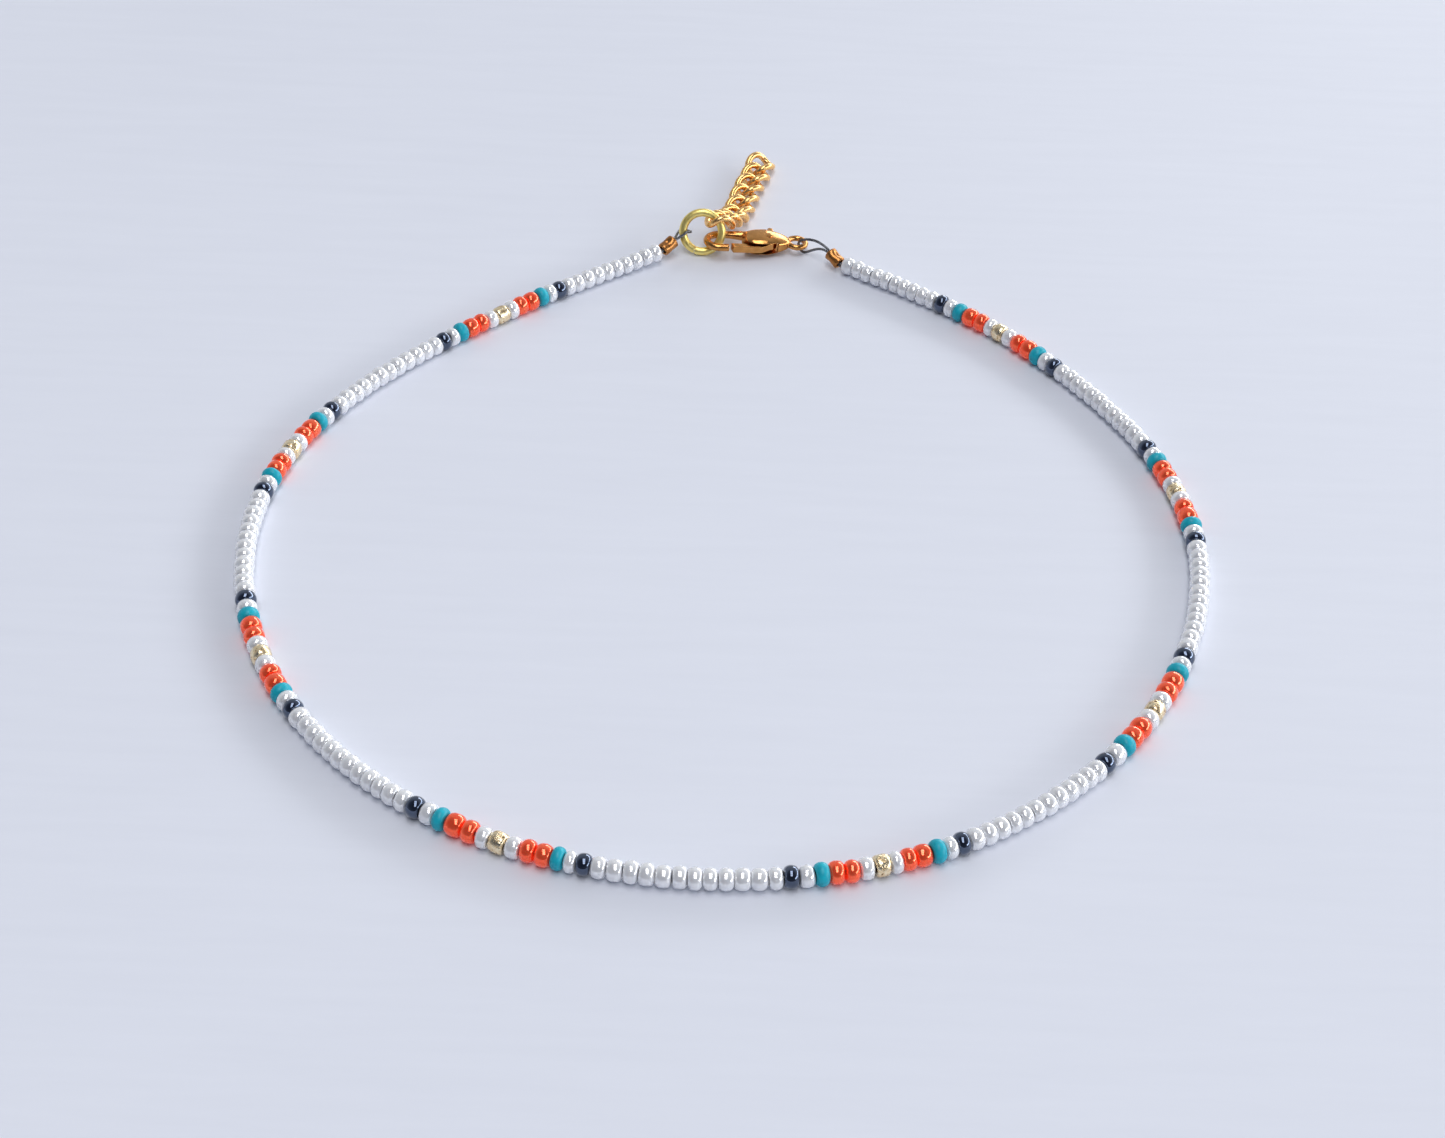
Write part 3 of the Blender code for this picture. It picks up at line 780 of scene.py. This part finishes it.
def make_wire_loop(name, start, mouth, axis, inside, target, around, held_radius, material):
    """Wire from the beads through the crimp, round what it holds and back."""
    reach = (target - mouth).length
    bend = mouth + axis * reach / 2
    arrival = (target - bend).normalized()
    side = arrival.cross(around).normalized()
    arrival = around.cross(side).normalized()
    round_radius = held_radius + CLEARANCE + WIRE_DIAMETER / 2
    leg_offset = (WIRE_DIAMETER + WIRE_LEG_GAP) / 2
    first_side = (side - axis * side.dot(axis)).normalized()
    leg = [(inside, first_side, WIRE_DIAMETER / 2), (start - axis * 0.0003, first_side, leg_offset),
           (start + axis * CRIMP_LENGTH * 0.3, first_side, leg_offset)]
    for step in range(LEG_POINTS):
        t = step / LEG_POINTS
        middle = mouth.lerp(bend, t).lerp(bend.lerp(target, t), t)
        ease = t * t * (3 - 2 * t)
        leg.append((middle, first_side.lerp(side, t).normalized(),
                    leg_offset + (round_radius - leg_offset) * ease))
    points = [middle + across * offset for middle, across, offset in leg]
    for step in range(LOOP_TURN_POINTS + 1):
        angle = math.pi * step / LOOP_TURN_POINTS
        points.append(target + round_radius * (side * math.cos(angle) + arrival * math.sin(angle)))
    points += [middle - across * offset for middle, across, offset in reversed(leg)]
    verts, faces = cable(smooth_curve(points, 4), WIRE_DIAMETER / 2)
    piece = make_piece(name, shifted(verts), faces, material)
    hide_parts(name)
    return piece


def make_crimp(name, start, axis, material, seed):
    """Short copper tube, squeezed flat in its middle with the marks of the pliers."""
    outer = crimp_bore_radius() + CRIMP_WALL
    inner = outer - CRIMP_WALL * 1.6
    outline = [(0.00010, inner), (0.0, (inner + outer) / 2), (0.00008, outer - 0.00004), (0.00022, outer)]
    outline += [(CRIMP_LENGTH * share, outer) for share in (0.2, 0.3, 0.4, 0.5, 0.6, 0.7, 0.8)]
    outline += [(CRIMP_LENGTH - along, out) for along, out in reversed(outline[:4])]
    outline += [(CRIMP_LENGTH * share, inner) for share in (0.85, 0.65, 0.5, 0.35, 0.15)]
    side = UP.cross(axis).normalized()
    above = axis.cross(side)
    twist = math.radians(seed.uniform(-25, 25))
    verts = []
    for k in range(CRIMP_SIDES):
        angle = 2 * math.pi * k / CRIMP_SIDES
        for along, out in outline:
            squeeze = math.exp(-((along / CRIMP_LENGTH - 0.5) / CRIMP_SQUEEZE_WIDTH) ** 2)
            x = math.cos(angle) * (1.0 + 0.02 * squeeze)
            y = math.sin(angle) * (1.0 - CRIMP_FLATTENING * squeeze)
            crease = math.exp(-(x / CRIMP_CREASE_WIDTH) ** 2) * squeeze * CRIMP_CREASE
            y -= math.copysign(crease, y) if y > 0 else 0.0
            across = side * math.cos(twist) + above * math.sin(twist)
            upright = above * math.cos(twist) - side * math.sin(twist)
            verts.append(start + axis * along + (across * x + upright * y) * out)
    faces = [(a, d, c, b) for a, b, c, d in band_faces(CRIMP_SIDES, len(outline), closed=True)]
    piece = make_piece(name, shifted(verts), faces, material, 50.0)
    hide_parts(name)
    return piece


# Ring and chain

def ring_radius():
    return (RING_DIAMETER - RING_WIRE) / 2


def ring_place(left_mouth):
    tilt = math.radians(RING_TILT)
    left = left_mouth + direction(LEFT_CRIMP_HEADING, 0.0) * RING_REACH
    height = ring_radius() * math.sin(tilt) + RING_WIRE / 2
    return Vector((left.x + ring_radius(), left.y, height))


def ring_point(middle, angle):
    turn = math.radians(angle)
    tilt = math.radians(RING_TILT)
    across = Vector((1.0, 0.0, 0.0))
    upwards = Vector((0.0, math.cos(tilt), math.sin(tilt)))
    outward = across * math.cos(turn) + upwards * math.sin(turn)
    along = upwards * math.cos(turn) - across * math.sin(turn)
    return middle + outward * ring_radius(), along


def make_ring(middle, material):
    """Jump ring cut from round wire, with the cut nearly closed."""
    gap = math.degrees(RING_SEAM_GAP / ring_radius())
    turns = [RING_SEAM + gap / 2 + (360.0 - gap) * step / RING_POINTS for step in range(RING_POINTS + 1)]
    points = [ring_point(middle, turn)[0] for turn in turns]
    radii = [RING_WIRE / 2] * len(points)
    for index, share in ((0, 0.90), (1, 0.985), (-1, 0.90), (-2, 0.985)):
        radii[index] *= share
    verts, faces = sweep(points, radii, 24)
    piece = make_piece("jump_ring_polished", shifted(verts), faces, material, 50.0)
    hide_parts("jump_ring")
    return piece


def link_half():
    return (LINK_LENGTH - LINK_WIRE) / 2


def link_path():
    half_width = (LINK_WIDTH - LINK_WIRE) / 2
    points = []
    for step in range(LINK_POINTS):
        angle = 2 * math.pi * step / LINK_POINTS
        along = math.cos(angle)
        twist = math.radians(LINK_TWIST) * along
        across = half_width * math.sin(angle)
        points.append(Vector((link_half() * along, across * math.cos(twist), across * math.sin(twist))))
    return points


def make_chain(ring_middle, material):
    """Twisted links, each with the swelling where it was soldered shut."""
    held = ring_point(ring_middle, CHAIN_ANGLE)[0]
    dense = smooth_curve([held] + [Vector(point) for point in CHAIN_ROUTE])
    lengths = travelled(dense)
    seam = LINK_POINTS // 4
    swells = [math.exp(-((step - seam) / LINK_SEAM_POINTS) ** 2) for step in range(LINK_POINTS)]
    radii = [LINK_WIRE / 2 * (1.0 + LINK_SEAM_SWELL * swell) for swell in swells]
    verts, faces = sweep(link_path(), radii, 18, closed=True)
    first = link_half() - (LINK_WIRE + RING_WIRE) / 2 - CLEARANCE
    pitch = 2 * link_half() - LINK_WIRE - CLEARANCE
    pieces = []
    for index in range(LINK_COUNT):
        middle = first + index * pitch
        start = point_at(dense, lengths, middle - pitch / 2)
        stop = point_at(dense, lengths, middle + pitch / 2)
        forward = (stop - start).normalized()
        side = UP.cross(forward).normalized()
        above = forward.cross(side)
        turned = Matrix((forward, side, above)).transposed().to_4x4()
        place = Matrix.Translation((start + stop) / 2 + LOOP_MIDDLE) @ turned
        piece = make_piece(f"extender_link_{index + 1}", [place @ vert for vert in verts], faces, material)
        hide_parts(f"chain_link_{index + 1}")
        pieces.append(piece)
    return pieces


# Clasp, modelled in millimetres in its own frame and then set in place

def body_start():
    return EYE_DIAMETER - EYE_OVERLAP


def body_middle():
    return body_start() + BODY_LENGTH / 2


def bowl_middle():
    return body_start() + BODY_LENGTH + HOOK_REACH


def hook_side():
    return HOOK_BOWL_RADIUS + HOOK_WIRE / 2


def pin_place():
    return Vector((body_middle() - PIN_BACK, PIN_OFFSET, 0.0))


def hub_radius():
    return PIN_DIAMETER / 2 + CLEARANCE + HUB_WALL


def clasp_matrix(ring_middle):
    held, along = ring_point(ring_middle, CLASP_ANGLE)
    forward = direction(CLASP_HEADING, 0.0)
    slant = abs(along.dot(forward) / along.z)
    half_seat = RING_WIRE / 2 * math.hypot(1.0, slant) + HOOK_WIRE / 2 * slant
    seat = bowl_middle() + HOOK_BOWL_RADIUS - HOOK_WIRE / 2 - CLEARANCE - half_seat
    belly = BODY_THICKNESS * BODY_REST_SHARE
    pitch = math.asin((held.z - belly) / (seat - body_middle()))
    turned = Matrix.Rotation(math.radians(CLASP_HEADING), 4, "Z") @ Matrix.Rotation(-pitch, 4, "Y")
    return Matrix.Translation(held) @ turned @ Matrix.Translation((-seat, 0.0, 0.0))


def eye_rim(place, mouth):
    """Point of the clasp's eye that is nearest to the crimp, and the direction of its wire there."""
    eye = place @ Vector((EYE_DIAMETER / 2, 0.0, 0.0))
    plane = place.to_3x3()
    outward = mouth - eye
    outward -= plane @ UP * outward.dot(plane @ UP)
    outward.normalize()
    return eye + outward * (EYE_DIAMETER - EYE_WIRE) / 2, outward.cross(plane @ UP)


def helper(name, verts, faces):
    """Object for a Boolean, with the mesh in millimetres."""
    mesh = bpy.data.meshes.new(name)
    mesh.from_pydata([tuple(vert) for vert in verts], [], faces)
    shape = bmesh.new()
    shape.from_mesh(mesh)
    bmesh.ops.remove_doubles(shape, verts=shape.verts, dist=0.0001)
    bmesh.ops.recalc_face_normals(shape, faces=shape.faces)
    shape.to_mesh(mesh)
    shape.free()
    return linked(name, mesh)


def turned_shape(outline, middle, around=40):
    """Closed solid turned about the clasp's Z axis from (radius, height) points, in metres."""
    verts = []
    for radius, height in outline:
        for k in range(around):
            angle = 2 * math.pi * k / around
            verts.append(Vector((middle.x + radius * math.cos(angle), middle.y + radius * math.sin(angle),
                                 middle.z + height)) / MM)
    return verts, band_faces(len(outline), around)


def clasp_blank():
    """Swollen body, narrower at its tail."""
    shape = bmesh.new()
    bmesh.ops.create_uvsphere(shape, u_segments=72, v_segments=48, radius=1.0)
    bmesh.ops.rotate(shape, verts=shape.verts, matrix=Matrix.Rotation(math.pi / 2, 3, "Y"))
    for vertex in shape.verts:
        point = vertex.co
        power = BODY_ROUNDNESS
        size = (abs(point.x) ** power + abs(point.y) ** power + abs(point.z) ** power) ** (1 / power)
        point = point / size
        narrow = 1.0 + (1.0 - BODY_TAIL_SHARE) * min(0.0, point.x)
        vertex.co = (
            (body_middle() + point.x * BODY_LENGTH / 2) / MM,
            point.y * BODY_WIDTH / 2 * narrow / MM,
            point.z * BODY_THICKNESS / 2 * narrow / MM,
        )
    mesh = bpy.data.meshes.new("clasp_blank")
    bmesh.ops.recalc_face_normals(shape, faces=shape.faces)
    shape.to_mesh(mesh)
    shape.free()
    return linked("clasp_blank", mesh)


def clasp_hook():
    half = HOOK_WIRE / 2
    root = HOOK_ROOT_WIRE / 2
    nose = bowl_middle() - NOSE_LENGTH
    sections = [
        (body_middle(), root - BODY_WIDTH / 2, root),
        (body_start() + BODY_LENGTH * 0.8, (root - BODY_WIDTH / 2) * 0.97, root * 0.95),
        (body_start() + BODY_LENGTH, (root + half) / 2 - hook_side(), (root + half) / 2),
        (body_start() + BODY_LENGTH + HOOK_REACH / 2, half * 0.94 - hook_side() * 0.99, half * 1.02),
    ]
    for step in range(HOOK_TURN_POINTS + 1):
        angle = math.pi * (step / HOOK_TURN_POINTS - 0.5)
        along = bowl_middle() + HOOK_BOWL_RADIUS * math.cos(angle)
        sections.append((along, HOOK_BOWL_RADIUS * math.sin(angle), half))
    sections.append((nose, HOOK_BOWL_RADIUS, half))
    path = [Vector((along, across, 0.0)) / MM for along, across, _ in sections]
    verts, faces = sweep(path, [section[2] / MM for section in sections], 28)
    return helper("clasp_hook", verts, faces)


def clasp_eye():
    radius = (EYE_DIAMETER - EYE_WIRE) / 2
    path = []
    for step in range(EYE_POINTS):
        angle = 2 * math.pi * step / EYE_POINTS
        along = EYE_DIAMETER / 2 + radius * math.cos(angle)
        path.append(Vector((along, radius * math.sin(angle), 0.0)) / MM)
    verts, faces = sweep(path, [EYE_WIRE / 2 / MM] * len(path), 20, closed=True)
    return helper("clasp_eye", verts, faces)


def nub_sides():
    return -NUB_WIDTH - NUB_SET_BACK, -NUB_SET_BACK


def lever_room():
    """Outline round the pin of the room that the lever swings in."""
    pocket = hub_radius() + CLEARANCE
    ledge = PIN_DIAMETER / 2
    outside = BODY_WIDTH
    slot_start = -hub_radius()
    slot_end = body_start() + BODY_LENGTH + CLEARANCE - pin_place().x
    turn = math.radians(LEVER_OPENING)
    wall = BODY_WIDTH / 2 + PIN_OFFSET
    low, high = nub_sides()
    window_start = low * math.cos(turn) - wall * math.sin(turn) - CLEARANCE
    window_end = high + CLEARANCE
    ledge_angle = math.degrees(math.asin(ledge / pocket))
    slot_angle = math.degrees(math.acos(slot_start / pocket))
    window_angle = math.degrees(math.acos(window_end / pocket))
    outline = [(slot_end, -ledge), (slot_end, outside), (slot_start, outside)]
    outline += hub_arc(pocket, slot_angle, 180.0 + ledge_angle)
    outline += [(window_start, -ledge), (window_start, -outside), (window_end, -outside)]
    outline += hub_arc(pocket, 360.0 - window_angle, 360.0 - ledge_angle)
    return outline


def slab(name, outline, middle, half_height):
    """Flat shape of this outline, in the clasp's frame."""
    count = len(outline)
    levels = (-half_height, half_height)
    verts = [(middle + Vector((x, y, height))) / MM for height in levels for x, y in outline]
    faces = [tuple(reversed(range(count))), tuple(range(count, 2 * count))]
    faces += [(i, (i + 1) % count, count + (i + 1) % count, count + i) for i in range(count)]
    return helper(name, verts, faces)


def solid_from(base, joined, cut, voxel, rounding):
    """Join and cut the helpers, then melt the edges a little, as in a cast and tumbled piece."""
    steps = [(other, "UNION") for other in joined] + [(other, "DIFFERENCE") for other in cut]
    for other, operation in steps:
        modifier = base.modifiers.new("combine", "BOOLEAN")
        modifier.operation = operation
        modifier.object = other
        modifier.solver = "EXACT"
    remesh = base.modifiers.new("cast", "REMESH")
    remesh.mode = "VOXEL"
    remesh.voxel_size = voxel
    relax = base.modifiers.new("tumbled", "SMOOTH")
    relax.factor = 0.5
    relax.iterations = rounding
    bpy.context.view_layer.update()
    graph = bpy.context.evaluated_depsgraph_get()
    mesh = bpy.data.meshes.new_from_object(base.evaluated_get(graph))
    for other in [base, *joined, *cut]:
        bpy.data.objects.remove(other, do_unlink=True)
    return mesh


def settle(mesh, place, material):
    """Bring a mesh from the clasp's millimetres to its place, and give it its metal."""
    mesh.transform(place @ Matrix.Diagonal((MM, MM, MM, 1.0)))
    mesh.transform(Matrix.Translation(LOOP_MIDDLE))
    mesh.materials.clear()
    mesh.materials.append(material)
    mesh.shade_smooth()


def rivet():
    """Pin with a low domed head on each cheek of the body."""
    radius = PIN_DIAMETER / 2
    head = radius * RIVET_HEAD_SHARE
    top = BODY_THICKNESS / 2
    dome = [(head, top - 0.00002), (head * 0.94, top + 0.00003), (head * 0.72, top + 0.00007),
            (head * 0.40, top + 0.00010), (head * 0.10, top + 0.00011)]
    outline = [(out, -height) for out, height in reversed(dome)]
    outline += [(radius, -top + 0.00010), (radius, top - 0.00010)] + dome
    verts, faces = turned_shape(outline, pin_place())
    return helper("clasp_pin", verts, faces)


def make_clasp_body(place, material):
    room = slab("lever_room", lever_room(), pin_place(), LEVER_THICKNESS / 2 + CLEARANCE)
    casting = solid_from(clasp_blank(), [clasp_hook(), clasp_eye()], [room], BODY_VOXEL, BODY_ROUNDS)
    settle(casting, place, material)
    piece = linked("clasp_casting", casting)
    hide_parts("clasp_body")
    pin = rivet()
    settle(pin.data, place, material)
    pin.data.set_sharp_from_angle(angle=math.radians(RIVET_ANGLE))
    pin.name = "clasp_rivet"
    return [piece, pin]


def hub_arc(radius, start, stop):
    steps = math.ceil((stop - start) / HUB_STEP)
    angles = [math.radians(start + (stop - start) * step / steps) for step in range(steps + 1)]
    return [(radius * math.cos(angle), radius * math.sin(angle)) for angle in angles]


def gate_reach():
    nose = bowl_middle() - NOSE_LENGTH - pin_place().x
    near_side = HOOK_BOWL_RADIUS - HOOK_WIRE / 2 - PIN_OFFSET
    return math.hypot(nose, near_side) - CLEARANCE


def lever_outline():
    hub = hub_radius()
    outer = hook_side() - PIN_OFFSET
    inner = outer - GATE_WIDTH
    nub_end = -(BODY_WIDTH / 2 + PIN_OFFSET + NUB_STAND_OUT)
    low, high = nub_sides()
    outline = []
    for step in range(GATE_TIP_POINTS + 1):
        side = inner + (outer - inner) * step / GATE_TIP_POINTS
        outline.append((math.sqrt(gate_reach() ** 2 - side**2), side))
    outline.append((hub, outer))
    outline += hub_arc(hub, HUB_START, 360.0 - math.degrees(math.acos(low / hub)))
    middle = (low + high) / 2
    half = (high - low) / 2
    for step in range(NUB_POINTS + 1):
        angle = math.pi + math.pi * step / NUB_POINTS
        outline.append((middle + half * math.cos(angle), nub_end + half * (1 + math.sin(angle))))
    outline += hub_arc(hub, 360.0 - math.degrees(math.acos(high / hub)), 360.0)
    outline.append((hub + GATE_FILLET, inner))
    return outline


def make_lever(place, material):
    """Lever cut round its pin, with its edges rounded."""
    half = LEVER_THICKNESS / 2
    centre = Vector((0.0, 0.0, 0.0))
    bore = PIN_DIAMETER / 2 + CLEARANCE
    bore_verts, bore_faces = turned_shape([(bore, -2 * half), (bore, 2 * half)], centre)
    mesh = solid_from(slab("lever_blank", lever_outline(), centre, half), [],
                      [helper("lever_bore", bore_verts, bore_faces)], LEVER_VOXEL, LEVER_ROUNDS)
    settle(mesh, place @ Matrix.Translation(pin_place()), material)
    piece = linked("clasp_trigger", mesh)
    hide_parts("clasp_lever")
    return piece


# Camera, floor and light

def make_camera():
    data = bpy.data.cameras.new("camera")
    data.sensor_width = SENSOR_WIDTH
    data.lens = FOCAL_PIXELS / IMAGE_WIDTH * SENSOR_WIDTH
    data.clip_start = 0.005
    data.clip_end = 40.0
    camera = bpy.data.objects.new("camera", data)
    bpy.context.scene.collection.objects.link(camera)
    look = (-CAMERA_OFFSET).to_track_quat("-Z", "Y").to_matrix().to_4x4()
    roll = Matrix.Rotation(math.radians(CAMERA_ROLL), 4, "Z")
    camera.matrix_world = Matrix.Translation(CAMERA_AIM + CAMERA_OFFSET) @ look @ roll
    bpy.context.scene.camera = camera


def make_floor():
    corners = [(-1.0, -1.0), (1.0, -1.0), (1.0, 1.0), (-1.0, 1.0)]
    verts = [Vector((x * FLOOR_REACH, y * FLOOR_REACH, -FLOOR_DROP)) for x, y in corners]
    floor = make_piece("pale_floor", verts, [(0, 1, 2, 3)], floor_material())


def make_world():
    """Soft room, bright towards the horizon and darker overhead on the camera's side."""
    world = bpy.data.worlds.new("soft_room")
    world.use_nodes = True
    nodes = world.node_tree.nodes
    place = nodes.new("ShaderNodeTexCoord")
    towards = nodes.new("ShaderNodeVectorMath")
    towards.operation = "DOT_PRODUCT"
    towards.inputs[1].default_value = ROOM_DARK_SIDE
    link(world, place, "Generated", towards, 0)
    spread = map_range(world, (towards, "Value"), -1.0, 1.0, 0.0, 1.0)
    ramp = ramp_node(world, ROOM_STOPS)
    feed(world, spread, ramp, "Fac")
    link(world, ramp, "Color", nodes["Background"], "Color")
    bpy.context.scene.world = world


def window(name, heading, height, distance, size, radiance, colour, panes, bar):
    """Window of glowing panes with bars between, at a heading and a height above the floor in degrees."""
    middle = direction(heading, height) * distance
    facing = (-middle).to_track_quat("-Z", "Y").to_matrix().to_4x4()
    wide = (size[0] - bar * (panes[0] - 1)) / panes[0]
    tall = (size[1] - bar * (panes[1] - 1)) / panes[1]
    for i in range(panes[0]):
        for j in range(panes[1]):
            data = bpy.data.lights.new(f"{name}_{i}_{j}", "AREA")
            data.shape = "RECTANGLE"
            data.size = wide
            data.size_y = tall
            data.energy = radiance * math.pi * wide * tall
            data.color = colour
            light = bpy.data.objects.new(data.name, data)
            bpy.context.scene.collection.objects.link(light)
            across = (i - (panes[0] - 1) / 2) * (wide + bar)
            along = (j - (panes[1] - 1) / 2) * (tall + bar)
            shift = Matrix.Translation((across, along, 0.0))
            light.matrix_world = Matrix.Translation(middle) @ facing @ shift
            light.visible_camera = False


def make_light():
    make_world()
    for heading in WINDOW_HEADINGS:
        window("window_right", heading, height=18.0, distance=4.5, size=(3.0, 0.96), radiance=6.2,
               colour=(0.96, 0.98, 1.0), panes=(2, 1), bar=0.15)
    window("window_above", -87.0, height=78.0, distance=3.0, size=(1.15, 3.1), radiance=4.8,
           colour=(1.0, 0.99, 0.98), panes=(2, 3), bar=0.08)
    bpy.context.scene.view_settings.view_transform = "Standard"
    bpy.context.scene.view_settings.look = "None"


def main():
    for old in list(bpy.data.objects):
        if old.type in {"LIGHT", "CAMERA"} or old.name == "Cube":
            bpy.data.objects.remove(old, do_unlink=True)
    make_camera()
    make_floor()
    make_light()

    yellow = metal_material("yellow_gold", (1.0, 0.77, 0.23), (1.0, 0.84, 0.31), 0.38)
    rose = metal_material("rose_gold", (0.56, 0.26, 0.075), (0.72, 0.35, 0.11), 0.20)
    # The chain's metal is the clasp's rose gold made lighter. The lightness is a painted highlight for the
    # glints of its small links.
    pale = metal_material("chain_gold_painted_highlight", (0.92, 0.53, 0.18), (1.0, 0.62, 0.25), 0.26)
    copper = metal_material("copper_gold", (0.38, 0.15, 0.04), (0.56, 0.25, 0.08), 0.30)
    steel = metal_material("beading_wire", (0.12, 0.12, 0.13), (0.30, 0.31, 0.33), 0.32)

    line = strand_line()
    left_axis = direction(LEFT_CRIMP_HEADING, LEFT_CRIMP_RISE)
    right_axis = direction(RIGHT_CRIMP_HEADING, RIGHT_CRIMP_RISE)
    left_start = crimp_start(line[0], line[0] - line[1], left_axis, LEFT_CRIMP_DROP)
    right_start = crimp_start(line[-1], line[-1] - line[-2], right_axis, RIGHT_CRIMP_DROP)
    left_mouth = left_start + left_axis * CRIMP_LENGTH
    right_mouth = right_start + right_axis * CRIMP_LENGTH
    ring_middle = ring_place(left_mouth)
    place = clasp_matrix(ring_middle)
    seed = random.Random(5)

    pieces = make_beads(line, make_bead_materials())
    pieces.append(make_core_wire(line, steel))
    pieces.append(make_crimp("crimp_left", left_start, left_axis, copper, seed))
    pieces.append(make_crimp("crimp_right", right_start, right_axis, copper, seed))
    pieces.append(make_ring(ring_middle, yellow))
    pieces += make_chain(ring_middle, pale)
    held, along = ring_point(ring_middle, LEFT_LOOP_ANGLE)
    inside = line[0] + (line[1] - line[0]).normalized() * WIRE_TUCK
    pieces.append(make_wire_loop("wire_loop_left", left_start, left_mouth, left_axis, inside, held, along,
                                 RING_WIRE / 2, steel))
    rim, around = eye_rim(place, right_mouth)
    inside = line[-1] + (line[-2] - line[-1]).normalized() * WIRE_TUCK
    pieces.append(make_wire_loop("wire_loop_right", right_start, right_mouth, right_axis, inside, rim,
                                 around, EYE_WIRE / 2, steel))
    pieces += make_clasp_body(place, rose)
    for piece in pieces:
        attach(piece, "necklace")
    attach(make_lever(place, rose), "lever")


main()
